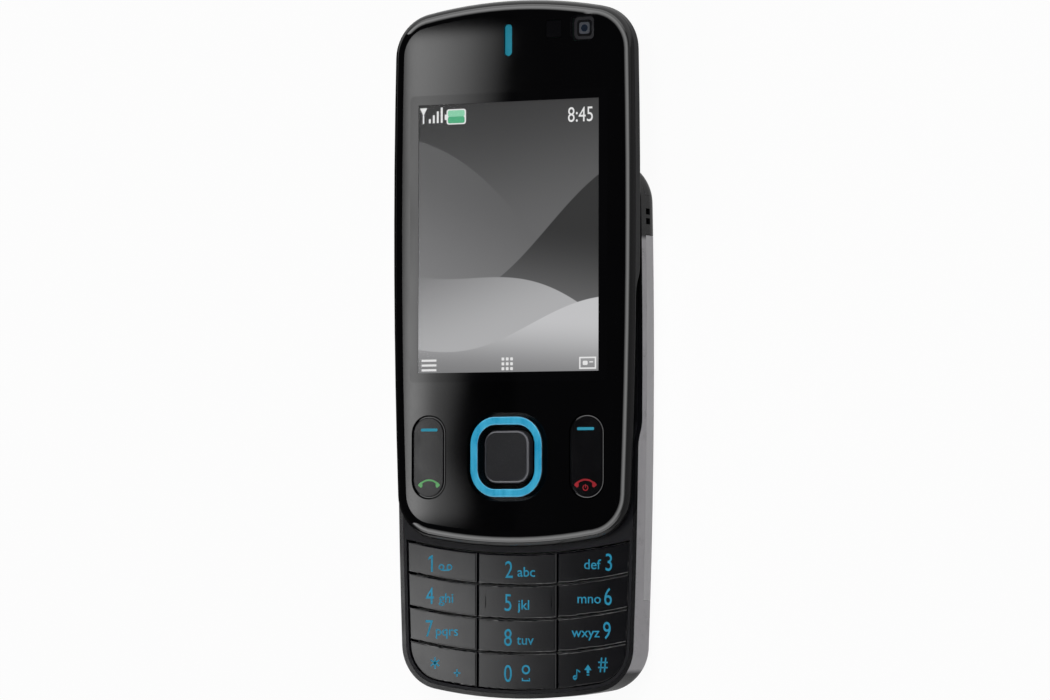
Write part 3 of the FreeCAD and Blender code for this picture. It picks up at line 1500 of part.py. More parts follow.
lower_chassis()
battery_cover()
rear_top_cap()
charger_socket()
usb_socket()
camera_window()
main_camera()
flash_leds()
inner_pieces()
main_board()
shield_can()
keypad_cover()
slide_base()
slide_flex()
slide_springs()
screw_group("housing_screws", -1, four_places(screw_across, screw_low, screw_high), screw_shaft, screw_head,
            floor_bottom - back_wall, bed_floor - fit, front_wall, True)
screw_group("base_screws", -1, four_places(base_screw_across, base_screw_low, base_screw_high),
            base_screw - seam, base_screw_head, bed_floor, base_bottom + base_sheet + dome_sheet * 3,
            dome_sheet * 3, False)
keypad_board()
keys()
front_cover()
display_window()
lcd_module()
display_frame()
upper_rear_cover()
slide_plate()
screw_group("plate_screws", 1, four_places(base_screw_across, plate_screw_low, plate_screw_high),
            base_screw - seam, base_screw_head, thick_back - fit * 2, thick_floor, dome_sheet * 2, True)
upper_board()
ui_board()
nav_ring()
nav_web()
select_key()
rocker_key("left_rocker_key", -1)
rocker_key("right_rocker_key", 1)
earpiece()
doc.recompute()

for item in doc.Objects:
    if "Invalid" in item.State or "Error" in item.State:
        raise RuntimeError("failed feature: " + item.Name)

nodes = [item for item in doc.Objects if item.TypeId in ("PartDesign::Body", "Part::Compound")]
for node in nodes:
    if node.Shape.isNull() or not node.Shape.isValid():
        raise RuntimeError("bad shape: " + node.Label)

os.makedirs("parts", exist_ok=True)
for node in nodes:
    node.Shape.exportStep("parts/" + node.Label + ".step")
    print(node.Label, len(node.Shape.Solids), round(node.Shape.Volume, 1))
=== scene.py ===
import json
import math

import bmesh
import bpy
from mathutils import Matrix, Vector

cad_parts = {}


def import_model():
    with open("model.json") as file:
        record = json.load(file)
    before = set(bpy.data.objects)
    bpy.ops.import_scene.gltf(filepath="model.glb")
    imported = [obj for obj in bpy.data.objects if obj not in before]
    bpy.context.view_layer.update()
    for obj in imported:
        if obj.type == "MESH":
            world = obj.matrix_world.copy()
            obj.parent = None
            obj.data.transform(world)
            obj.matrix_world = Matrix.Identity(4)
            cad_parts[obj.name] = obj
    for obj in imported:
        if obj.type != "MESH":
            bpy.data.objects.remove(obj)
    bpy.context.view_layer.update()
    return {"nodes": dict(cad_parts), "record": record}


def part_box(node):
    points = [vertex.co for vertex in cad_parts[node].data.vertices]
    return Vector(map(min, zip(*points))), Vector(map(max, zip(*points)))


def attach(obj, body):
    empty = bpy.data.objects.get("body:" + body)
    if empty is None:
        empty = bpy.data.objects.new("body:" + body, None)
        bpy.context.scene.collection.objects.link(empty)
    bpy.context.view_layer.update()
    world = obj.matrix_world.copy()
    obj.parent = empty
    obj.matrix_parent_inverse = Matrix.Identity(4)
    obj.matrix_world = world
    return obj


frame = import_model()

# Sizes are in millimetres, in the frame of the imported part, unless a comment says otherwise

MM = 0.001
FACE = 13.5
KEY_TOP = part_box("key_1")[1].z / MM
ROCKER_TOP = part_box("left_rocker_key")[1].z / MM
RING_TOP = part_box("nav_ring")[1].z / MM
PICTURE_WIDE = 33.5
PICTURE_TALL = 44.7
PICTURE_MIDDLE = 18.45


# Camera, placed by measuring the photograph

CAMERA_AT = Vector((350.93, -29.42, 691.54)) * MM
CAMERA_TARGET = Vector((3.29, -0.33, 13.5)) * MM
CAMERA_ROLL = math.radians(0.11)
FOCAL_PIXELS = 4634
IMAGE_WIDTH = 1050
SENSOR = 36.0
CLIP_NEAR = 10 * MM
CLIP_FAR = 50000 * MM


def make_camera():
    data = bpy.data.cameras.new("camera")
    data.sensor_width = SENSOR
    data.lens = FOCAL_PIXELS * SENSOR / IMAGE_WIDTH
    data.clip_start = CLIP_NEAR
    data.clip_end = CLIP_FAR
    camera = bpy.data.objects.new("camera", data)
    bpy.context.scene.collection.objects.link(camera)
    back = (CAMERA_AT - CAMERA_TARGET).normalized()
    side = Vector((back.z, 0, -back.x)).normalized()
    up = back.cross(side)
    across = side * math.cos(CAMERA_ROLL) + up * math.sin(CAMERA_ROLL)
    upward = up * math.cos(CAMERA_ROLL) - side * math.sin(CAMERA_ROLL)
    turn = Matrix((across, upward, back)).transposed().to_4x4()
    camera.matrix_world = Matrix.Translation(CAMERA_AT) @ turn
    bpy.context.scene.camera = camera


# Node helpers

NOISE_LOW = 0.3
NOISE_HIGH = 0.7
CLOUD_DETAIL = 4.0
FLAKE_LEVEL = 0.62
FLAKE_LIFT = 0.01


def new_material(name):
    material = bpy.data.materials.new(name)
    material.use_nodes = True
    material.node_tree.nodes.clear()
    return material, material.node_tree


def node(tree, kind, **values):
    made = tree.nodes.new(kind)
    for key, value in values.items():
        setattr(made, key, value)
    return made


def math_node(tree, operation, first, second=None, clamp=False):
    made = node(tree, "ShaderNodeMath", operation=operation, use_clamp=clamp)
    for at, item in enumerate((first, second)):
        if item is None:
            continue
        if isinstance(item, (int, float)):
            made.inputs[at].default_value = item
        else:
            tree.links.new(item, made.inputs[at])
    return made.outputs[0]


def mix_colour(tree, factor, low, high):
    made = node(tree, "ShaderNodeMix", data_type="RGBA")
    for socket, item in ((made.inputs[0], factor), (made.inputs[6], low), (made.inputs[7], high)):
        if isinstance(item, (int, float)):
            socket.default_value = item
        elif isinstance(item, tuple):
            socket.default_value = (*item, 1)
        else:
            tree.links.new(item, socket)
    return made.outputs[2]


def object_point(tree, stretch=(1, 1, 1)):
    """The place on the object in metres, scaled along each axis."""
    coordinates = node(tree, "ShaderNodeTexCoord")
    mapping = node(tree, "ShaderNodeMapping")
    mapping.inputs["Scale"].default_value = stretch
    tree.links.new(coordinates.outputs["Object"], mapping.inputs["Vector"])
    return mapping.outputs[0]


def noise(tree, point, scale, detail=3.0):
    made = node(tree, "ShaderNodeTexNoise")
    made.inputs["Scale"].default_value = scale
    made.inputs["Detail"].default_value = detail
    tree.links.new(point, made.inputs["Vector"])
    return made.outputs["Fac"]


def spread(tree, value, low, high):
    """Noise stretched over a range of values."""
    made = node(tree, "ShaderNodeMapRange")
    made.inputs["From Min"].default_value = NOISE_LOW
    made.inputs["From Max"].default_value = NOISE_HIGH
    made.inputs["To Min"].default_value = low
    made.inputs["To Max"].default_value = high
    tree.links.new(value, made.inputs["Value"])
    return made.outputs["Result"]


def finish_shader(tree, colour, rough, metal=0.0, grain=9000, depth=0.004, vary=0.12,
                  rough_vary=0.05, stretch=(1, 1, 1), cloud=220, second=None, speck=0.0):
    """Fine grain, uneven roughness and slight colour change."""
    shader = node(tree, "ShaderNodeBsdfPrincipled")
    shader.inputs["Metallic"].default_value = metal
    point = object_point(tree, stretch)
    fine = noise(tree, point, grain)
    wide = noise(tree, point, cloud, CLOUD_DETAIL)
    dark = second or tuple(channel * (1 - vary) for channel in colour)
    light = tuple(channel * (1 + vary) for channel in colour)
    tint = mix_colour(tree, spread(tree, wide, 0.0, 1.0), dark, light)
    if speck:
        flakes = math_node(tree, "GREATER_THAN", fine, FLAKE_LEVEL)
        lift = FLAKE_LIFT * speck
        bright = tuple(min(1.0, channel * (1 + speck) + lift) for channel in colour)
        tint = mix_colour(tree, flakes, tint, bright)
    tree.links.new(tint, shader.inputs["Base Color"])
    blend = math_node(tree, "ADD", math_node(tree, "MULTIPLY", fine, 0.5),
                      math_node(tree, "MULTIPLY", wide, 0.5))
    tree.links.new(spread(tree, blend, rough - rough_vary, rough + rough_vary),
                   shader.inputs["Roughness"])
    if depth:
        bump = node(tree, "ShaderNodeBump")
        bump.inputs["Strength"].default_value = 1.0
        bump.inputs["Distance"].default_value = depth * MM
        tree.links.new(fine, bump.inputs["Height"])
        tree.links.new(bump.outputs[0], shader.inputs["Normal"])
    return shader.outputs[0]


def surface(name, colour, rough, **values):
    """A plastic or metal surface."""
    material, tree = new_material(name)
    out = node(tree, "ShaderNodeOutputMaterial")
    tree.links.new(finish_shader(tree, colour, rough, **values), out.inputs[0])
    return material


def edge_step(tree, value, low, high):
    """Nought below low, one above high, smooth between."""
    made = node(tree, "ShaderNodeMapRange", interpolation_type="SMOOTHSTEP")
    made.inputs["From Min"].default_value = low
    made.inputs["From Max"].default_value = high
    tree.links.new(value, made.inputs["Value"])
    return made.outputs["Result"]


def three_numbers(tree, socket):
    """The three numbers of a place or a direction, as sockets."""
    split = node(tree, "ShaderNodeSeparateXYZ")
    tree.links.new(socket, split.inputs[0])
    return split.outputs


def facing_up(tree, low, high):
    """How far the surface faces the front of the phone."""
    geometry = node(tree, "ShaderNodeNewGeometry")
    return edge_step(tree, three_numbers(tree, geometry.outputs["Normal"])[2], low, high)


def two_tone(name, mask_from, first, second):
    """Two finishes on one piece, chosen by the nodes that a function makes."""
    material, tree = new_material(name)
    out = node(tree, "ShaderNodeOutputMaterial")
    mix = node(tree, "ShaderNodeMixShader")
    tree.links.new(mask_from(tree), mix.inputs[0])
    tree.links.new(finish_shader(tree, **first), mix.inputs[1])
    tree.links.new(finish_shader(tree, **second), mix.inputs[2])
    tree.links.new(mix.outputs[0], out.inputs[0])
    return material


BOTTOM_END = -52.5
LUG_START = 17.5
FINISH_BLEND = 1.0
RING_PRINT_DEPTH = 0.35
RING_PRINT_BLEND = 0.1


def chassis_mask(tree):
    """Dark on the rim round the keys, at the bottom end and round the strap lugs."""
    along = three_numbers(tree, object_point(tree))[1]
    bottom = edge_step(tree, along, BOTTOM_END * MM, (BOTTOM_END - FINISH_BLEND) * MM)
    lugs = edge_step(tree, along, LUG_START * MM, (LUG_START + FINISH_BLEND) * MM)
    ends = math_node(tree, "MAXIMUM", bottom, lugs)
    return math_node(tree, "MAXIMUM", facing_up(tree, low=0.55, high=0.8), ends)


def ring_mask(tree):
    """Blue on the top of the ring only, not on its walls and its hidden flange."""
    geometry = node(tree, "ShaderNodeNewGeometry")
    height = three_numbers(tree, geometry.outputs["Position"])[2]
    edge = RING_TOP - RING_PRINT_DEPTH
    high = edge_step(tree, height, edge * MM, (edge + RING_PRINT_BLEND) * MM)
    return math_node(tree, "MULTIPLY", facing_up(tree, low=0.5, high=0.8), high)


def select_mask(tree):
    """Dark on the top of the select key, lighter on its bevel and walls."""
    return facing_up(tree, low=0.9, high=0.99)


DISPLAY_ROUGH = 0.6
PIXEL_GRAIN = 7000
RIDGE_BLEND = 0.0015
GLASS_ALPHA = 0.06


def lit_material(name):
    """A black surface that only glows, with its colour still to be set."""
    material, tree = new_material(name)
    out = node(tree, "ShaderNodeOutputMaterial")
    shader = node(tree, "ShaderNodeBsdfPrincipled")
    tree.links.new(shader.outputs[0], out.inputs[0])
    shader.inputs["Base Color"].default_value = (0, 0, 0, 1)
    shader.inputs["Roughness"].default_value = DISPLAY_ROUGH
    shader.inputs["Emission Strength"].default_value = 1.0
    return material, tree, shader


def glow(name, colour, vary=0.04):
    """A lit pixel colour of the display, with its fine pixel pattern."""
    material, tree, shader = lit_material(name)
    fine = noise(tree, object_point(tree), PIXEL_GRAIN, 2.0)
    low = tuple(channel * (1 - vary) for channel in colour)
    high = tuple(min(1.0, channel * (1 + vary)) for channel in colour)
    tree.links.new(mix_colour(tree, fine, low, high), shader.inputs["Emission Color"])
    return material


def wallpaper():
    """Generic grey dunes. Places are shares of the picture, greys are levels of light."""
    material, tree, shader = lit_material("display_wallpaper")
    coordinates = node(tree, "ShaderNodeTexCoord")
    place = three_numbers(tree, coordinates.outputs["Object"])
    across = math_node(tree, "MULTIPLY", place[0], 1 / (PICTURE_WIDE * MM))
    upward = math_node(tree, "MULTIPLY", place[1], 1 / (PICTURE_TALL * MM))
    across = math_node(tree, "ADD", across, 0.5)
    upward = math_node(tree, "ADD", upward, 0.5 - PICTURE_MIDDLE / PICTURE_TALL)

    def grey(value):
        return (value, value, value * 1.02)

    def shade(bottom, top, low, high, slant):
        """Grey that changes from low at the bottom to high at the top."""
        level = math_node(tree, "ADD", upward, math_node(tree, "MULTIPLY", across, slant))
        return mix_colour(tree, edge_step(tree, level, bottom, top), grey(low), grey(high))

    def dune(below, above, level, slope, swell, turns, start):
        """One colour below a wavy ridge and another above it."""
        wave = math_node(tree, "ADD", math_node(tree, "MULTIPLY", across, turns), start)
        wave = math_node(tree, "MULTIPLY", math_node(tree, "SINE", wave), swell)
        ridge = math_node(tree, "ADD", math_node(tree, "MULTIPLY", across, slope), level)
        ridge = math_node(tree, "ADD", ridge, wave)
        step = node(tree, "ShaderNodeMapRange")
        step.inputs["From Min"].default_value = -RIDGE_BLEND
        step.inputs["From Max"].default_value = RIDGE_BLEND
        tree.links.new(math_node(tree, "SUBTRACT", upward, ridge), step.inputs["Value"])
        return mix_colour(tree, step.outputs["Result"], below, above)

    sky = shade(bottom=0.35, top=1.0, low=0.12, high=0.03, slant=-0.12)
    haze = shade(bottom=0.2, top=0.85, low=0.2, high=0.1, slant=0.3)
    shadow = shade(bottom=0.15, top=0.62, low=0.16, high=0.02, slant=0.1)
    bank = shade(bottom=0.02, top=0.5, low=0.42, high=0.14, slant=-0.25)
    crest = shade(bottom=0.0, top=0.24, low=0.2, high=0.55, slant=0.05)
    far = dune(haze, sky, level=0.84, slope=-0.52, swell=0.07, turns=4.2, start=0.4)
    middle = dune(shadow, far, level=0.2, slope=0.46, swell=0.06, turns=5.1, start=2.6)
    near = dune(bank, middle, level=0.44, slope=-0.3, swell=0.09, turns=3.6, start=5.2)
    front = dune(crest, near, level=0.1, slope=0.12, swell=0.05, turns=4.6, start=3.4)
    tree.links.new(front, shader.inputs["Emission Color"])
    return material


def window_pane():
    """Clear over the picture, with a dark print round it on the inside."""
    material, tree = new_material("display_pane")
    out = node(tree, "ShaderNodeOutputMaterial")
    shader = node(tree, "ShaderNodeBsdfPrincipled")
    tree.links.new(shader.outputs[0], out.inputs[0])
    shader.inputs["IOR"].default_value = 1.45
    point = object_point(tree)
    smear = noise(tree, point, 60, 3.0)
    tree.links.new(spread(tree, smear, 0.02, 0.05), shader.inputs["Roughness"])
    place = three_numbers(tree, point)
    aside = math_node(tree, "ABSOLUTE", place[0])
    away = math_node(tree, "SUBTRACT", place[1], PICTURE_MIDDLE * MM)
    away = math_node(tree, "ABSOLUTE", away)
    over_x = math_node(tree, "GREATER_THAN", aside, PICTURE_WIDE / 2 * MM)
    over_y = math_node(tree, "GREATER_THAN", away, PICTURE_TALL / 2 * MM)
    border = math_node(tree, "MAXIMUM", over_x, over_y)
    alpha = math_node(tree, "MULTIPLY", border, 1 - GLASS_ALPHA)
    alpha = math_node(tree, "ADD", alpha, GLASS_ALPHA, clamp=True)
    tree.links.new(alpha, shader.inputs["Alpha"])
    shade = mix_colour(tree, smear, (0.0015, 0.0015, 0.002), (0.003, 0.003, 0.0035))
    tree.links.new(shade, shader.inputs["Base Color"])
    return material


def clear_glass(name, tint, alpha):
    """Smoked glass of the small windows."""
    material, tree = new_material(name)
    out = node(tree, "ShaderNodeOutputMaterial")
    shader = node(tree, "ShaderNodeBsdfPrincipled")
    tree.links.new(shader.outputs[0], out.inputs[0])
    shader.inputs["Alpha"].default_value = alpha
    smear = noise(tree, object_point(tree), 300, 3.0)
    tree.links.new(spread(tree, smear, 0.02, 0.06), shader.inputs["Roughness"])
    dark = tuple(channel * 0.8 for channel in tint)
    tree.links.new(mix_colour(tree, smear, dark, tint), shader.inputs["Base Color"])
    return material


MATERIALS = {
    "gloss": surface("gloss_black_plastic", (0.0016, 0.0016, 0.002), 0.035, grain=5000, depth=0.00003,
                     rough_vary=0.012, cloud=90),
    "pane": window_pane(),
    "eye_glass": clear_glass("small_window_glass", (0.01, 0.01, 0.012), 0.35),
    "sensor": clear_glass("sensor_glass", (0.004, 0.004, 0.005), 0.95),
    "cover": surface("battery_cover_satin", (0.7, 0.69, 0.71), 0.33, metal=0.8, grain=15000,
                     depth=0.0007, vary=0.03, rough_vary=0.02, cloud=60, speck=0.2),
    "dark": surface("dark_moulding", (0.006, 0.006, 0.008), 0.34, grain=11000, depth=0.0012),
    "rear": surface("rear_paint", (0.008, 0.008, 0.01), 0.3, metal=0.2, grain=16000, depth=0.0007,
                    vary=0.08, speck=0.5),
    "chassis": two_tone("chassis_mouldings", chassis_mask,
                        dict(colour=(0.62, 0.605, 0.63), rough=0.3, metal=0.85, grain=14000,
                             depth=0.0006, vary=0.05, speck=0.25),
                        dict(colour=(0.004, 0.004, 0.005), rough=0.18, grain=11000, depth=0.0005)),
    "key": surface("key_plastic", (0.003, 0.003, 0.0045), 0.13, grain=13000, depth=0.0002,
                   rough_vary=0.02, speck=0.2),
    "pill": surface("pill_key_plastic", (0.004, 0.004, 0.005), 0.1, grain=9000, depth=0.0001,
                    rough_vary=0.03),
    "select": two_tone("select_key_plastic", select_mask,
                       dict(colour=(0.09, 0.09, 0.1), rough=0.3, metal=0.3, grain=7000, depth=0.001),
                       dict(colour=(0.01, 0.01, 0.012), rough=0.42, grain=7000, depth=0.003,
                            rough_vary=0.07, speck=0.8)),
    "ring": two_tone("ring_blue_plastic", ring_mask,
                     dict(colour=(0.004, 0.012, 0.018), rough=0.25, grain=8000, depth=0.0006),
                     dict(colour=(0.06, 0.52, 0.79), rough=0.3, grain=8000, depth=0.0006,
                          vary=0.12, second=(0.01, 0.38, 0.68), cloud=420, stretch=(1.6, 0.5, 1))),
    "mesh": surface("ear_mesh", (0.022, 0.305, 0.429), 0.45, grain=12000, depth=0.001),
    # Painted shade: flat black that stands in for the shade in the gap round the select key, not the
    # colour of the parts seen there
    "gap": surface("gap_painted_shade", (0.004, 0.004, 0.004), 0.5, grain=9000, depth=0.001),
    "steel": surface("steel", (0.5, 0.5, 0.5), 0.28, metal=1.0, grain=9000, depth=0.0008,
                     stretch=(1, 0.06, 1)),
    "board": surface("board_mask", (0.01, 0.09, 0.045), 0.4, grain=5000, depth=0.002),
    "film": surface("film", (0.42, 0.2, 0.04), 0.3, grain=6000, depth=0.0008),
    "rubber": surface("rubber", (0.22, 0.22, 0.22), 0.6, grain=8000, depth=0.002),
    "pack": surface("battery_sleeve", (0.05, 0.05, 0.055), 0.38, grain=8000, depth=0.001),
    "module": surface("module_moulding", (0.02, 0.02, 0.022), 0.45, grain=9000, depth=0.002),
    "phosphor": surface("flash_phosphor", (0.75, 0.68, 0.35), 0.3, grain=9000, depth=0.001),
    "print_blue": surface("print_blue", (0.02, 0.32, 0.52), 0.4, grain=12000, depth=0.0006),
    "print_pale": surface("print_light_blue", (0.03, 0.36, 0.52), 0.4, grain=12000, depth=0.0006),
    "print_green": surface("print_green", (0.16, 0.47, 0.18), 0.4, grain=12000, depth=0.0006),
    "print_red": surface("print_red", (0.4, 0.012, 0.022), 0.4, grain=12000, depth=0.0006),
    "lens_rim": surface("lens_rim", (0.16, 0.16, 0.17), 0.4, grain=9000, depth=0.0005),
    "lens_pale": surface("lens_pale", (0.4, 0.43, 0.5), 0.3, grain=5000, depth=0.0003),
    "lens_blue": surface("lens_blue", (0.05, 0.09, 0.17), 0.12, grain=5000, depth=0.0002),
    "lens_dark": surface("lens_dark", (0.004, 0.004, 0.009), 0.05, grain=5000, depth=0.00005),
    "picture": wallpaper(),
    "white": glow("display_white", (0.78, 0.78, 0.78)),
    "green_low": glow("display_green", (0.07, 0.4, 0.2)),
    "green_high": glow("display_pale_green", (0.25, 0.62, 0.4)),
}

SLOT_FINISH = {
    "side_metal": "chassis", "gloss_black": "gloss", "window_glass": "pane", "dark_cover": "dark",
    "rear_paint": "rear", "key_plastic": "key", "ring_blue": "ring", "steel": "steel",
    "board": "board", "film": "film", "rubber": "rubber", "battery_pack": "pack",
    "module_black": "module"}
NODE_FINISH = {
    "select_key": "select", "left_rocker_key": "pill", "right_rocker_key": "pill",
    # The dome sheet and web under the select key get painted shade: black in place of the brown of the
    # film
    "battery_cover": "cover", "nav_dome_sheet": "gap", "nav_web": "gap",
    "earpiece_grille": "mesh", "flash_leds": "phosphor", "front_camera_window": "eye_glass",
    "light_sensor_window": "sensor"}


def dress_nodes():
    """Give every node of the frame its detailed material."""
    for part in frame["record"]["subparts"]:
        name = part["node"]
        finish = NODE_FINISH.get(name, SLOT_FINISH[part["material_slot"]])
        item = frame["nodes"][name]
        if not item.material_slots:
            item.data.materials.append(None)
        for slot in item.material_slots:
            slot.material = MATERIALS[finish]


# Flat printed and lit shapes. Outlines are lists of places, in millimetres


def finish_piece(item, body, finish):
    item.data.materials.clear()
    item.data.materials.append(MATERIALS[finish])
    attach(item, body)
    return item


def plate(name, outlines, low, thick, body, finish):
    """Thin plates with the given outlines, in millimetres, counter-clockwise seen from above."""
    shape = bmesh.new()
    for outline in outlines:
        bottom = [shape.verts.new((x * MM, y * MM, low * MM)) for x, y in outline]
        top = [shape.verts.new((x * MM, y * MM, (low + thick) * MM)) for x, y in outline]
        shape.faces.new(list(reversed(bottom)))
        shape.faces.new(top)
        count = len(outline)
        for at in range(count):
            after = (at + 1) % count
            shape.faces.new((bottom[at], bottom[after], top[after], top[at]))
    bmesh.ops.recalc_face_normals(shape, faces=shape.faces)
    mesh = bpy.data.meshes.new(name)
    shape.to_mesh(mesh)
    shape.free()
    item = bpy.data.objects.new(name, mesh)
    bpy.context.scene.collection.objects.link(item)
    return finish_piece(item, body, finish)


def box_line(left, low, right, high, corner=0.0, steps=5):
    """Outline of a rectangle with rounded corners."""
    if corner <= 0:
        return [(left, low), (right, low), (right, high), (left, high)]
    points = []
    centres = [(right - corner, high - corner), (left + corner, high - corner),
               (left + corner, low + corner), (right - corner, low + corner)]
    for quarter, (x, y) in enumerate(centres):
        for step in range(steps + 1):
            angle = (quarter + step / steps) * math.pi / 2
            points.append((x + corner * math.cos(angle), y + corner * math.sin(angle)))
    return points


def arc_points(x, y, radius, angles):
    return [(x + radius * math.cos(angle), y + radius * math.sin(angle)) for angle in angles]


def band_line(x, y, radius, wide, start, end, steps=24):
    """Outline of an arc band from one angle to another, in degrees."""
    angles = [math.radians(start + (end - start) * at / steps) for at in range(steps + 1)]
    outer = arc_points(x, y, radius + wide / 2, angles)
    inner = arc_points(x, y, radius - wide / 2, angles)
    return outer + inner[::-1]


def ring_lines(x, y, radius, wide):
    """A full ring as two half bands."""
    return [band_line(x, y, radius, wide, 0, 180), band_line(x, y, radius, wide, 180, 360)]


def turned(points, x, y, angle):
    """An outline turned about its origin and moved to a place."""
    cosine = math.cos(math.radians(angle))
    sine = math.sin(math.radians(angle))
    return [(x + px * cosine - py * sine, y + px * sine + py * cosine) for px, py in points]


def moved(outlines, place):
    """Outlines moved to a place."""
    return [[(place[0] + x, place[1] + y) for x, y in outline] for outline in outlines]


def edge_boxes(left, low, right, high, edge):
    """The four sides of a rectangle as strips."""
    return [box_line(left, low, right, low + edge), box_line(left, high - edge, right, high),
            box_line(left, low + edge, left + edge, high - edge),
            box_line(right - edge, low + edge, right, high - edge)]


def words(name, text, x, base, size, narrow, low, thick, body, slot, finish, bold=0.0):
    """Raised print in the built-in typeface, centred on x, standing on a base line."""
    curve = bpy.data.curves.new(name, "FONT")
    curve.body = text
    curve.size = size * MM
    curve.align_x = "CENTER"
    curve.extrude = thick / 2 * MM
    curve.offset = bold * MM
    curve.resolution_u = 4
    draft = bpy.data.objects.new(name + "_draft", curve)
    bpy.context.scene.collection.objects.link(draft)
    bpy.context.view_layer.update()
    mesh = bpy.data.meshes.new_from_object(draft.evaluated_get(bpy.context.evaluated_depsgraph_get()))
    bpy.data.objects.remove(draft)
    mesh.name = name
    place = Matrix.Translation((x * MM, base * MM, (low + thick / 2) * MM))
    mesh.transform(place @ Matrix.Diagonal((narrow, 1, 1, 1)))
    item = bpy.data.objects.new(name, mesh)
    bpy.context.scene.collection.objects.link(item)
    return finish_piece(item, body, finish)


# Print on the dial keys

INK = 0.02
DIGIT_SIZE = 4.04
DIGIT_NARROW = 0.8
LETTER_SIZE = 2.28
LETTER_NARROW = 1.08
LETTER_LIFT = 0.25
LETTER_BOLD = 0.012

# For each key its digit, the middle and the base line of it, its letters and their middle
LEGENDS = {
    "key_1": ("1", -15.95, -36.93, "", 0),
    "key_2": ("2", -1.48, -37.86, "abc", 1.75),
    "key_3": ("3", 16.93, -36.55, "def", 13.83),
    "key_4": ("4", -16.31, -42.3, "ghi", -13.2),
    "key_5": ("5", -1.62, -43.3, "jkl", 1.3),
    "key_6": ("6", 16.76, -42.15, "mno", 13.3),
    "key_7": ("7", -16.48, -47.76, "pqrs", -13.1),
    "key_8": ("8", -1.64, -49.08, "tuv", 1.55),
    "key_9": ("9", 16.58, -47.7, "wxyz", 12.7),
    "key_0": ("0", -1.63, -55.02, "", 0),
}

MESSAGE_AT = (-13.4, -36.15)
FLAG_AT = (-15.95, -36.93)
STAR_AT = (-15.33, -52.1)
PLUS_AT = (-11.17, -53.7)
ZERO_SIGN_AT = (1.7, -52.95)
SPACE_AT = (1.7, -54.85)
HASH_AT = (15.86, -51.96)
SHIFT_AT = (13.13, -52.85)
NOTE_AT = (10.75, -54.1)


def message_sign():
    """Two tape reels on a line."""
    reel = 0.42
    stroke = 0.2
    apart = 0.75
    line = box_line(-apart, -0.6, apart, -0.42)
    return ring_lines(-apart, 0, reel, stroke) + ring_lines(apart, 0, reel, stroke) + [line]


def digit_flag():
    """The slanting flag at the top of the digit 1."""
    return [[(-0.67, 2.0), (-0.15, 2.31), (-0.15, 2.76), (-0.67, 2.35)]]


def star_sign():
    spokes = 6
    spoke = box_line(-0.13, 0.0, 0.13, 0.95)
    return [turned(spoke, 0, 0, 360 / spokes * at) for at in range(spokes)]


def plus_sign():
    reach = 0.6
    half = 0.12
    return [box_line(-reach, -half, reach, half), box_line(-half, -reach, half, reach)]


def space_sign():
    """A low tray."""
    reach = 0.75
    stroke = 0.2
    tall = 0.5
    return [box_line(-reach, 0, reach, stroke), box_line(-reach, stroke, -reach + stroke, tall),
            box_line(reach - stroke, stroke, reach, tall)]


def hash_sign():
    reach = 0.86
    bars = [box_line(-reach, 0.31, reach, 0.54), box_line(-reach, -0.54, reach, -0.31)]
    stroke = box_line(-0.12, -1.2, 0.12, 1.2)
    lean = -6
    return bars + [turned(stroke, -0.36, 0, lean), turned(stroke, 0.39, 0, lean)]


def shift_sign():
    """An arrow up over a short line."""
    half = 0.23
    return [[(-0.68, 0), (0.67, 0), (0, 0.9)], box_line(-half, -0.5, half, 0),
            box_line(-half, -0.9, half, -0.7)]


def note_sign():
    """A quaver."""
    head = band_line(0, 0, 0.26, 0.26, 0, 360)
    stem = box_line(0.23, 0, 0.41, 1.4)
    return [head, stem, turned(box_line(0, -0.1, 0.8, 0.1), 0.3, 1.35, -35)]


KEY_SIGNS = [
    ("key_1_message_sign", "key_1", moved(message_sign(), MESSAGE_AT) + moved(digit_flag(), FLAG_AT)),
    ("key_star_sign", "key_star", moved(star_sign(), STAR_AT)),
    ("key_star_plus_sign", "key_star", moved(plus_sign(), PLUS_AT)),
    ("key_0_ring_sign", "key_0", moved(ring_lines(0, 0, 0.62, 0.3), ZERO_SIGN_AT)),
    ("key_0_space_sign", "key_0", moved(space_sign(), SPACE_AT)),
    ("key_hash_sign", "key_hash", moved(hash_sign(), HASH_AT)),
    ("key_hash_shift_sign", "key_hash", moved(shift_sign(), SHIFT_AT)),
    ("key_hash_note_sign", "key_hash", moved(note_sign(), NOTE_AT)),
]


def key_print():
    """Numbers, telephone letters and the plain signs of the dial keys."""
    for key, (digit, x, base, letters, letters_x) in LEGENDS.items():
        words(key + "_number", digit, x, base, DIGIT_SIZE, DIGIT_NARROW, KEY_TOP, INK,
              key, "key_plastic", "print_blue")
        if letters:
            words(key + "_letters", letters, letters_x, base + LETTER_LIFT, LETTER_SIZE, LETTER_NARROW,
                  KEY_TOP, INK, key, "key_plastic", "print_blue", LETTER_BOLD)
    for name, key, outlines in KEY_SIGNS:
        plate(name, outlines, KEY_TOP, INK, key, "print_blue")


# Signs on the two pill keys. The gap of the power sign is in degrees

PILLS = {"left_rocker_key": (-14.52, "print_green"), "right_rocker_key": (14.48, "print_red")}
DASH_REACH = 1.55
DASH_LOW = -13.6
DASH_HIGH = -13.12
DASH_CORNER = 0.18
CALL_TOP = -21.7
HANDSET_REACH = 1.95
HANDSET_ROUND = 1.25
GRIP_HALF = 0.15
CUP_START = 0.6
CUP_BLEND = 0.18
CUP_RISE = 0.05
CUP_DROP = 0.42
TIP_START = 0.93
TIP_ROUND = 0.12
POWER_AT = (14.48, -23.0)
POWER_RADIUS = 0.44
POWER_STROKE = 0.16
POWER_GAP = 28
POWER_BAR = 0.58


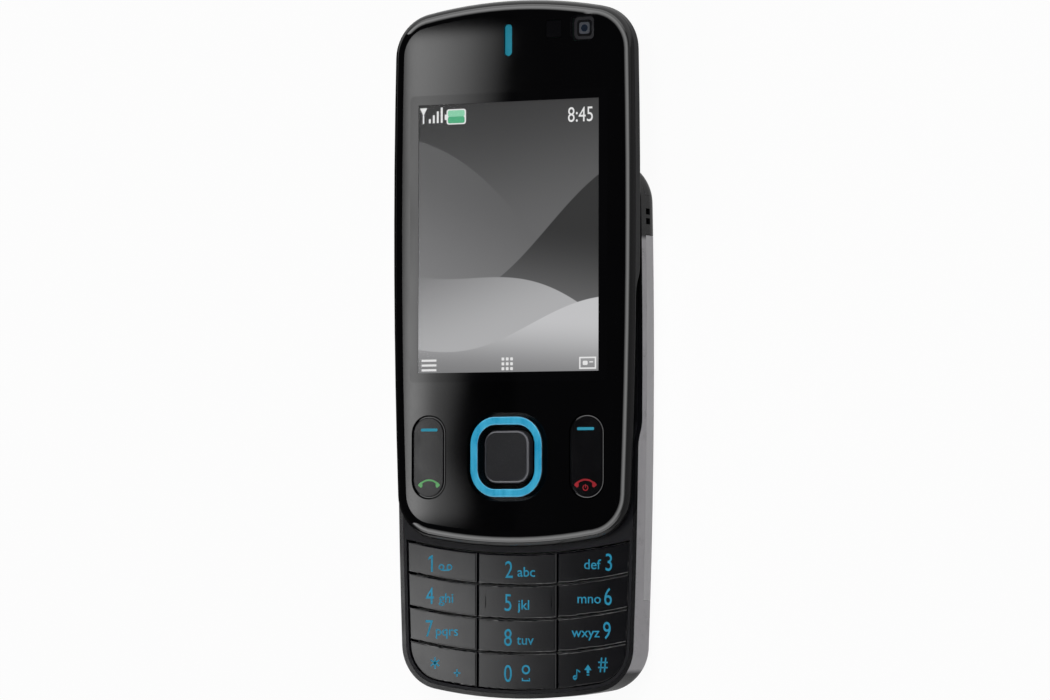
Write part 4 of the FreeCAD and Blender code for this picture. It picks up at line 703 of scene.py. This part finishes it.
def handset(x, y, reach):
    """A lifted handset seen from the side: an arc with two thicker, turned-down ends."""
    radius = reach * HANDSET_ROUND
    low = y - radius
    span = math.degrees(math.asin(reach / radius))
    steps = 40
    outer = []
    inner = []
    for at in range(steps + 1):
        share = 2 * at / steps - 1
        angle = math.radians(90 - span * share)
        swell = min(1.0, max(0.0, (abs(share) - CUP_START) / CUP_BLEND))
        swell = swell * swell * (3 - 2 * swell)
        tip = max(0.0, (abs(share) - TIP_START) / (1 - TIP_START))
        above = radius + GRIP_HALF + CUP_RISE * swell - TIP_ROUND * tip * tip
        below = radius - GRIP_HALF - CUP_DROP * swell + TIP_ROUND * tip * tip
        outer.append((x + above * math.cos(angle), low + above * math.sin(angle)))
        inner.append((x + below * math.cos(angle), low + below * math.sin(angle)))
    return [outer + inner[::-1]]


def front_signs():
    """A dash and a handset on each pill key, and the power sign on the right one."""
    for body, (x, finish) in PILLS.items():
        dash = box_line(x - DASH_REACH, DASH_LOW, x + DASH_REACH, DASH_HIGH, DASH_CORNER)
        plate(body + "_dash_sign", [dash], ROCKER_TOP, INK, body, "print_pale")
        plate(body + "_call_sign", handset(x, CALL_TOP, HANDSET_REACH), ROCKER_TOP, INK, body,
              finish)
    half = POWER_STROKE / 2
    power = [band_line(0, 0, POWER_RADIUS, POWER_STROKE, 90 + POWER_GAP, 450 - POWER_GAP),
             box_line(-half, 0, half, POWER_BAR)]
    plate("right_rocker_key_power_sign", moved(power, POWER_AT), ROCKER_TOP, INK, "right_rocker_key",
          "print_red")


# The lit picture and its plain signs

SHEET_DEPTH = 0.12
SHEET_THICK = 0.015
SIGN_LIFT = 0.02
SIGN_THICK = 0.01
MAST_AT = (-15.86, 37.7)
BAR_LEFT = -14.85
BAR_LOW = 37.75
BAR_STEP = 0.75
BAR_WIDE = 0.37
BAR_SHORT = 0.7
BAR_GROW = 0.62
BATTERY = (-11.5, 37.4, -7.85, 39.95)
BATTERY_CORNER = 0.45
BATTERY_KNOB = (-11.85, 38.2, -11.5, 39.1)
CHARGE_LEFT = -11.25
CHARGE_RIGHT = -8.1
CHARGE_LOW = 37.6
CHARGE_MIDDLE = 38.7
CHARGE_HIGH = 39.75
CHARGE_CORNER = 0.3
CLOCK_AT = (13.4, 37.0)
CLOCK_SIZE = 3.5
CLOCK_NARROW = 0.8
SIGNS_LOW = -3.6
SIGNS_STEP = 0.8
ROW_LEFT = -16.1
ROW_RIGHT = -13.3
ROW_TALL = 0.35
GRID_LEFT = -1.1
DOT = 0.5
DOT_CORNER = 0.1
CONTACT_CARD = (13.2, -3.6, 16.3, -1.6)
CONTACT_EDGE = 0.25
CONTACT_FACE = (13.85, -2.95, 14.75, -2.25)
CONTACT_FACE_CORNER = 0.2
CONTACT_LINE = (15.05, -2.55, 15.75, -2.35)


def mast_sign():
    half = 0.14
    reach = 0.69
    return [box_line(-half, 0, half, 1.4), [(-reach, 2.6), (0, 1.3), (reach, 2.6)]]


def signal_bars():
    bars = []
    for at in range(4):
        left = BAR_LEFT + BAR_STEP * at
        bars.append(box_line(left, BAR_LOW, left + BAR_WIDE, BAR_LOW + BAR_SHORT + BAR_GROW * at))
    return bars


def list_sign():
    rows = [SIGNS_LOW + SIGNS_STEP * at for at in range(3)]
    return [box_line(ROW_LEFT, low, ROW_RIGHT, low + ROW_TALL) for low in rows]


def grid_sign():
    dots = []
    for row in range(3):
        for column in range(3):
            left = GRID_LEFT + SIGNS_STEP * column
            low = SIGNS_LOW + SIGNS_STEP * row
            dots.append(box_line(left, low, left + DOT, low + DOT, DOT_CORNER))
    return dots


def card_sign():
    """A contact card with a face and a line."""
    return edge_boxes(*CONTACT_CARD, CONTACT_EDGE) + [box_line(*CONTACT_FACE, CONTACT_FACE_CORNER),
                                                      box_line(*CONTACT_LINE)]


def display():
    """The lit picture and its plain signs, inside the pane just under its face."""
    half = PICTURE_WIDE / 2
    low = PICTURE_MIDDLE - PICTURE_TALL / 2
    high = PICTURE_MIDDLE + PICTURE_TALL / 2
    sheet = FACE - SHEET_DEPTH
    over = sheet + SIGN_LIFT
    plate("display_picture", [box_line(-half, low, half, high)], sheet, SHEET_THICK, "slider",
          "picture")

    def lit(name, outlines, finish="white", lift=0.0):
        plate(name, outlines, over + lift, SIGN_THICK, "slider", finish)

    lit("display_mast_sign", moved(mast_sign(), MAST_AT))
    lit("display_signal_bars", signal_bars())
    lit("display_battery_edge", [box_line(*BATTERY, BATTERY_CORNER), box_line(*BATTERY_KNOB)])
    lower = box_line(CHARGE_LEFT, CHARGE_LOW, CHARGE_RIGHT, CHARGE_MIDDLE, CHARGE_CORNER)
    upper = box_line(CHARGE_LEFT, CHARGE_MIDDLE, CHARGE_RIGHT, CHARGE_HIGH, CHARGE_CORNER)
    lit("display_battery_low", [lower], "green_low", SIGN_THICK)
    lit("display_battery_high", [upper], "green_high", SIGN_THICK)
    words("display_clock", "8:45", *CLOCK_AT, CLOCK_SIZE, CLOCK_NARROW, over, SIGN_THICK, "slider",
          "window_glass", "white")
    lit("display_list_sign", list_sign())
    lit("display_grid_sign", grid_sign())
    lit("display_card_sign", card_sign())


# Seals and lenses

INNER_ROUND = 0.7
SEAM = 0.12
SEAL_CORNER = 0.97
SEAL_EDGE = 0.16
SEAL_DEEP = 0.3
SEAL_SUNK = 0.001
CLOTH_INSET = 0.1
CLOTH_CORNER = 0.6
CLOTH_DEPTH = 0.12
CLOTH_THICK = 0.06
FRONT_LENS_AT = (13.65, 52.45)
FRONT_LENS_DEPTH = 0.08
RIM_WIDE = 3.7
RIM_CORNER = 0.9
RIM_EDGE = 0.5
RIM_THICK = 0.03
IRIS_HALF = 0.95
IRIS_CORNER = 0.35
PUPIL_RADIUS = 0.3
PUPIL_THICK = 0.02
REAR_LENS_AT = (0.0, 25.1)

# Radius and height along each profile
LENS_DOME = [(0, 0.62), (0.7, 0.68), (1.3, 0.9), (1.68, 1.2), (0, 1.25)]
LENS_RING = [(1.8, 0.44), (2.6, 0.38), (3.1, 0.44), (3.1, 0.449), (1.8, 0.449), (1.8, 0.44)]


def rounded_frame(x, y, wide, tall, corner, edge):
    """A rounded rectangular ring, as one strip after another round it."""
    outer = box_line(x - wide / 2, y - tall / 2, x + wide / 2, y + tall / 2, corner)
    half_wide = wide / 2 - edge
    half_tall = tall / 2 - edge
    inner = box_line(x - half_wide, y - half_tall, x + half_wide, y + half_tall,
                     corner - edge * INNER_ROUND)
    strips = []
    count = len(outer)
    for at in range(count):
        after = (at + 1) % count
        strips.append([outer[at], outer[after], inner[after], inner[at]])
    return strips


def seals():
    """Black adhesive in the seam round the window, and the cloth behind the ear mesh."""
    low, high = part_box("display_window")
    x = (low.x + high.x) / 2 / MM
    y = (low.y + high.y) / 2 / MM
    wide = (high.x - low.x) / MM + 2 * SEAM
    tall = (high.y - low.y) / MM + 2 * SEAM
    seal = rounded_frame(x, y, wide, tall, SEAL_CORNER, SEAL_EDGE)
    plate("window_adhesive", seal, FACE - SEAL_DEEP - SEAL_SUNK, SEAL_DEEP, "slider",
          "gloss")
    low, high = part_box("earpiece_grille")
    cloth = box_line(low.x / MM + CLOTH_INSET, low.y / MM + CLOTH_INSET, high.x / MM - CLOTH_INSET,
                     high.y / MM - CLOTH_INSET, CLOTH_CORNER)
    plate("earpiece_cloth", [cloth], high.z / MM - CLOTH_DEPTH, CLOTH_THICK, "slider",
          "mesh")


def eyes():
    """Rim, iris and pupil that show through the small window of the front camera."""
    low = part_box("front_camera_window")[0].z / MM - FRONT_LENS_DEPTH
    x, y = FRONT_LENS_AT
    rim = rounded_frame(x, y, RIM_WIDE, RIM_WIDE, RIM_CORNER, RIM_EDGE)
    plate("front_camera_rim", rim, low, RIM_THICK, "slider", "lens_rim")
    iris = box_line(x - IRIS_HALF, y - IRIS_HALF, x + IRIS_HALF, y + IRIS_HALF, IRIS_CORNER)
    plate("front_camera_iris", [iris], low, RIM_THICK, "slider", "lens_pale")
    pupil = band_line(x, y, PUPIL_RADIUS, 2 * PUPIL_RADIUS, 0, 359)
    plate("front_camera_lens", [pupil], low + RIM_THICK, PUPIL_THICK, "slider",
          "lens_blue")


def lathe(name, profile, x, y, body, slot, finish, steps=48):
    """A turned piece from a profile of radius and height in millimetres."""
    shape = bmesh.new()
    rings = []
    for radius, height in profile:
        if radius == 0:
            rings.append([shape.verts.new((x * MM, y * MM, height * MM))])
            continue
        ring = []
        for at in range(steps):
            angle = 2 * math.pi * at / steps
            ring.append(shape.verts.new(((x + radius * math.cos(angle)) * MM,
                                         (y + radius * math.sin(angle)) * MM, height * MM)))
        rings.append(ring)
    for first, second in zip(rings, rings[1:]):
        for at in range(steps):
            after = (at + 1) % steps
            if len(first) == 1:
                shape.faces.new((first[0], second[at], second[after]))
            elif len(second) == 1:
                shape.faces.new((first[at], first[after], second[0]))
            else:
                shape.faces.new((first[at], first[after], second[after], second[at]))
    bmesh.ops.recalc_face_normals(shape, faces=shape.faces)
    mesh = bpy.data.meshes.new(name)
    shape.to_mesh(mesh)
    shape.free()
    for face in mesh.polygons:
        face.use_smooth = True
    item = bpy.data.objects.new(name, mesh)
    bpy.context.scene.collection.objects.link(item)
    return finish_piece(item, body, finish)


def rear_camera():
    """Lens with its domed front in the barrel of the main camera."""
    lathe("main_camera_lens", LENS_DOME, *REAR_LENS_AT, "base", "module_black", "lens_dark")
    lathe("main_camera_ring", LENS_RING, *REAR_LENS_AT, "base", "module_black", "lens_rim")


# Stage

FLOOR_REACH = 6000
FLOOR_DROP = 0.02
FLOOR_WHITE = (0.8, 0.8, 0.8)
FLOOR_MIRRORED = (0.04, 0.04, 0.04)
FLOOR_SEEN = 0.95
MIRRORED_RIGHT = 0.3
MIRRORED_TOP = 0.6
MIRRORED_RIGHT_FROM = -40
MIRRORED_RIGHT_TO = 20
MIRRORED_TOP_FROM = 56
MIRRORED_TOP_TO = 66
HORIZON_HIGH = 0.5
HORIZON_LOW = 0.1
DARK_LEFT = -0.5
LIGHT_RIGHT = 0.2
HORIZON_LIGHT = 0.97
CEILING_LIGHT = 0.02


def stage_mesh(name, points, faces):
    mesh = bpy.data.meshes.new(name)
    mesh.from_pydata(points, [], faces)
    item = bpy.data.objects.new(name, mesh)
    bpy.context.scene.collection.objects.link(item)
    return item


def sheet_points(left, low, right, high):
    """Corners of a level sheet, in metres."""
    return [(x * MM, y * MM, 0) for x, y in box_line(left, low, right, high)]


def floor():
    """White for the camera. In the phone it mirrors light beyond the top and dark on the left."""
    item = stage_mesh("floor", sheet_points(-FLOOR_REACH, -FLOOR_REACH, FLOOR_REACH, FLOOR_REACH),
                      [(0, 1, 2, 3)])
    item.location.z = -FLOOR_DROP * MM
    material, tree = new_material("floor_white")
    out = node(tree, "ShaderNodeOutputMaterial")
    matt = node(tree, "ShaderNodeBsdfDiffuse")
    lit = node(tree, "ShaderNodeEmission")
    path = node(tree, "ShaderNodeLightPath")
    seen = math_node(tree, "MAXIMUM", path.outputs["Is Camera Ray"], path.outputs["Is Transmission Ray"])
    place = three_numbers(tree, object_point(tree))
    right = edge_step(tree, place[0], MIRRORED_RIGHT_FROM * MM, MIRRORED_RIGHT_TO * MM)
    top = edge_step(tree, place[1], MIRRORED_TOP_FROM * MM, MIRRORED_TOP_TO * MM)
    level = math_node(tree, "ADD", math_node(tree, "MULTIPLY", right, MIRRORED_RIGHT),
                      math_node(tree, "MULTIPLY", top, MIRRORED_TOP))
    glossy = math_node(tree, "MULTIPLY", path.outputs["Is Glossy Ray"], level)
    seen = math_node(tree, "MAXIMUM", seen, glossy)
    share = math_node(tree, "MULTIPLY", seen, FLOOR_SEEN)
    white = mix_colour(tree, path.outputs["Is Glossy Ray"], FLOOR_WHITE, FLOOR_MIRRORED)
    tree.links.new(white, matt.inputs["Color"])
    mix = node(tree, "ShaderNodeMixShader")
    tree.links.new(share, mix.inputs[0])
    tree.links.new(matt.outputs[0], mix.inputs[1])
    tree.links.new(lit.outputs[0], mix.inputs[2])
    tree.links.new(mix.outputs[0], out.inputs[0])
    item.data.materials.append(material)


def world():
    """Pale horizon that fades into a dark ceiling, darker on the left."""
    made = bpy.data.worlds.new("studio")
    bpy.context.scene.world = made
    made.use_nodes = True
    tree = made.node_tree
    tree.nodes.clear()
    out = node(tree, "ShaderNodeOutputWorld")
    lit = node(tree, "ShaderNodeBackground")
    coordinates = node(tree, "ShaderNodeTexCoord")
    way = three_numbers(tree, coordinates.outputs["Generated"])
    height = edge_step(tree, way[2], HORIZON_HIGH, HORIZON_LOW)
    side = edge_step(tree, way[0], DARK_LEFT, LIGHT_RIGHT)
    level = math_node(tree, "MULTIPLY", height, side)
    path = node(tree, "ShaderNodeLightPath")
    level = math_node(tree, "MAXIMUM", level, path.outputs["Is Camera Ray"])
    level = math_node(tree, "MULTIPLY", level, HORIZON_LIGHT)
    level = math_node(tree, "ADD", level, CEILING_LIGHT)
    tree.links.new(mix_colour(tree, level, (0, 0, 0), (1, 1, 1)), lit.inputs[0])
    tree.links.new(lit.outputs[0], out.inputs[0])


def glowing(name, strength_from):
    """Material of a soft lamp whose brightness comes from the nodes that a function makes."""
    material, tree = new_material(name)
    out = node(tree, "ShaderNodeOutputMaterial")
    lit = node(tree, "ShaderNodeEmission")
    coordinates = node(tree, "ShaderNodeTexCoord")
    place = three_numbers(tree, coordinates.outputs["Object"])
    tree.links.new(strength_from(tree, place), lit.inputs["Strength"])
    tree.links.new(lit.outputs[0], out.inputs[0])
    return material


# Panels over the phone. A ramp lists places along a panel, as shares, and their brightness

CARD_HEIGHT = 513.5
CARD_LEFT = -304.0
CARD_RIGHT = -256.0
CARD_LOW = -36.0
CARD_HIGH = 124.0
CARD_SLANT = -0.15
CARD_STRENGTH = 8.0
FACE_RAMP = [(0.0, 0.53), (0.15, 0.42), (0.24, 0.345), (0.33, 0.274), (0.425, 0.178), (0.52, 0.1),
             (0.61, 0.02), (0.66, 0.0)]
WIDER_FROM = -6.0
WIDER_TO = -24.0
WIDER_BY = 0.15
CORNER_RIGHT = -281.5
CORNER_LEFT = -292.0
CORNER_HIGH = 85.0
CORNER_LOW = 4.0
CORNER_LIGHT = 0.34
FADE_LOW = (-31.0, -25.0)
FADE_HIGH = (116.0, 111.0)
FADE_LEFT = (-294.0, -290.5)
KEY_CARD_LEFT = -330.0
KEY_CARD_RIGHT = -240.0
KEY_CARD_LOW = -94.0
KEY_CARD_HIGH = -32.0
KEY_STRENGTH = 8.0
KEY_RAMP = [(0.0, 0.54), (0.42, 0.54), (0.62, 0.45), (0.68, 0.15), (0.76, 0.03), (0.84, 0.0)]
KEY_FADE = (-33.0, -38.0)


def ramp(tree, value, points):
    made = node(tree, "ShaderNodeValToRGB")
    made.color_ramp.elements[0].position = points[0][0]
    made.color_ramp.elements[0].color = (*[points[0][1]] * 3, 1)
    made.color_ramp.elements[1].position = points[-1][0]
    made.color_ramp.elements[1].color = (*[points[-1][1]] * 3, 1)
    for at, level in points[1:-1]:
        made.color_ramp.elements.new(at).color = (level, level, level, 1)
    tree.links.new(value, made.inputs[0])
    return made.outputs[0]


def fade(tree, value, edges):
    """Dark at the first place, light at the second."""
    return edge_step(tree, value, edges[0] * MM, edges[1] * MM)


def share_between(tree, value, left, right):
    """Nought at one place, one at the other."""
    place = math_node(tree, "SUBTRACT", value, left * MM)
    return math_node(tree, "MULTIPLY", place, 1 / ((right - left) * MM))


def card(name, left, low, right, high, strength):
    """A soft panel over the phone that only shows in its reflections."""
    item = stage_mesh(name, sheet_points(left, low, right, high), [(0, 1, 2, 3)])
    item.location.z = CARD_HEIGHT * MM
    item.data.materials.append(glowing(name + "_light", strength))
    item.visible_camera = False


def face_strength(tree, place):
    """Bright on the left, wider at its low end, brightest at the low left corner."""
    across, along = place[0], place[1]
    slanted = math_node(tree, "ADD", across, math_node(tree, "MULTIPLY", along, CARD_SLANT))
    share = share_between(tree, slanted, CARD_LEFT, CARD_RIGHT)
    wider = math_node(tree, "MULTIPLY", fade(tree, along, (WIDER_FROM, WIDER_TO)), WIDER_BY)
    bright = ramp(tree, math_node(tree, "SUBTRACT", share, wider), FACE_RAMP)
    corner = math_node(tree, "MULTIPLY", fade(tree, across, (CORNER_RIGHT, CORNER_LEFT)),
                       fade(tree, along, (CORNER_HIGH, CORNER_LOW)))
    bright = math_node(tree, "ADD", bright, math_node(tree, "MULTIPLY", corner, CORNER_LIGHT))
    ends = math_node(tree, "MULTIPLY", fade(tree, along, FADE_LOW), fade(tree, along, FADE_HIGH))
    ends = math_node(tree, "MULTIPLY", ends, fade(tree, across, FADE_LEFT))
    bright = math_node(tree, "MULTIPLY", bright, ends)
    return math_node(tree, "MULTIPLY", bright, CARD_STRENGTH)


def key_strength(tree, place):
    share = share_between(tree, place[0], KEY_CARD_LEFT, KEY_CARD_RIGHT)
    bright = math_node(tree, "MULTIPLY", ramp(tree, share, KEY_RAMP), fade(tree, place[1], KEY_FADE))
    return math_node(tree, "MULTIPLY", bright, KEY_STRENGTH)


def reflected_cards():
    """Soft panels that the front and the keys mirror: bright on the left, dark on the right."""
    card("face_card", CARD_LEFT, CARD_LOW, CARD_RIGHT, CARD_HIGH, face_strength)
    card("keypad_card", KEY_CARD_LEFT, KEY_CARD_LOW, KEY_CARD_RIGHT, KEY_CARD_HIGH, key_strength)


# Band round the phone, in metres, with its reach in degrees. Its ramp takes its height as a share

BAND_RADIUS = 0.9
BAND_HEIGHT = 0.8
BAND_REACH = 150
BAND_STEPS = 60
BAND_STRENGTH = 4.6
BAND_RAMP = [(0.0, 0.06), (0.14, 0.08), (0.4, 1.0), (0.62, 0.8), (1.0, 0.0)]
END_STRENGTH = 2.6
END_FROM = 0.45
END_TO = 0.8
END_FADE_TOP = 1.0
END_FADE_LOW = 0.3


def band_strength(tree, place):
    """Brightest at half its height, and light down to the floor at both ends of the phone."""
    height = math_node(tree, "MULTIPLY", place[2], 1 / BAND_HEIGHT)
    side = math_node(tree, "MULTIPLY", ramp(tree, height, BAND_RAMP), BAND_STRENGTH)
    away = math_node(tree, "ABSOLUTE", place[1])
    ends = math_node(tree, "MULTIPLY", edge_step(tree, away, END_FROM, END_TO), END_STRENGTH)
    ends = math_node(tree, "MULTIPLY", ends, edge_step(tree, height, END_FADE_TOP, END_FADE_LOW))
    return math_node(tree, "MAXIMUM", side, ends)


def edge_light():
    """Low soft band round the right, the top and the bottom, which the rolled edges mirror."""
    points = []
    faces = []
    for at in range(BAND_STEPS + 1):
        angle = math.radians(BAND_REACH * (2 * at / BAND_STEPS - 1))
        for height in (0.0, BAND_HEIGHT):
            points.append((BAND_RADIUS * math.cos(angle), BAND_RADIUS * math.sin(angle), height))
        if at < BAND_STEPS:
            first = at * 2
            faces.append((first, first + 2, first + 3, first + 1))
    item = stage_mesh("edge_light", points, faces)
    item.data.materials.append(glowing("edge_light_glow", band_strength))
    item.visible_camera = False
    item.visible_diffuse = False


# Place and size of each lamp in metres, and its power in watts
LAMPS = [("key_lamp", (0.25, 0.3, 1.0), 0.5, 6.5), ("fill_lamp", (-0.7, -0.5, 0.7), 0.6, 2.5)]


def lamp(name, at, size, power):
    """A round lamp that faces the phone and doesn't show in it."""
    data = bpy.data.lights.new(name, "AREA")
    data.shape = "DISK"
    data.size = size
    data.energy = power
    item = bpy.data.objects.new(name, data)
    item.location = at
    item.rotation_euler = (-Vector(at)).to_track_quat("-Z", "Y").to_euler()
    item.visible_glossy = False
    bpy.context.scene.collection.objects.link(item)


make_camera()
dress_nodes()
key_print()
front_signs()
display()
seals()
eyes()
rear_camera()
floor()
world()
reflected_cards()
edge_light()
for values in LAMPS:
    lamp(*values)
bpy.context.scene.view_settings.view_transform = "Standard"
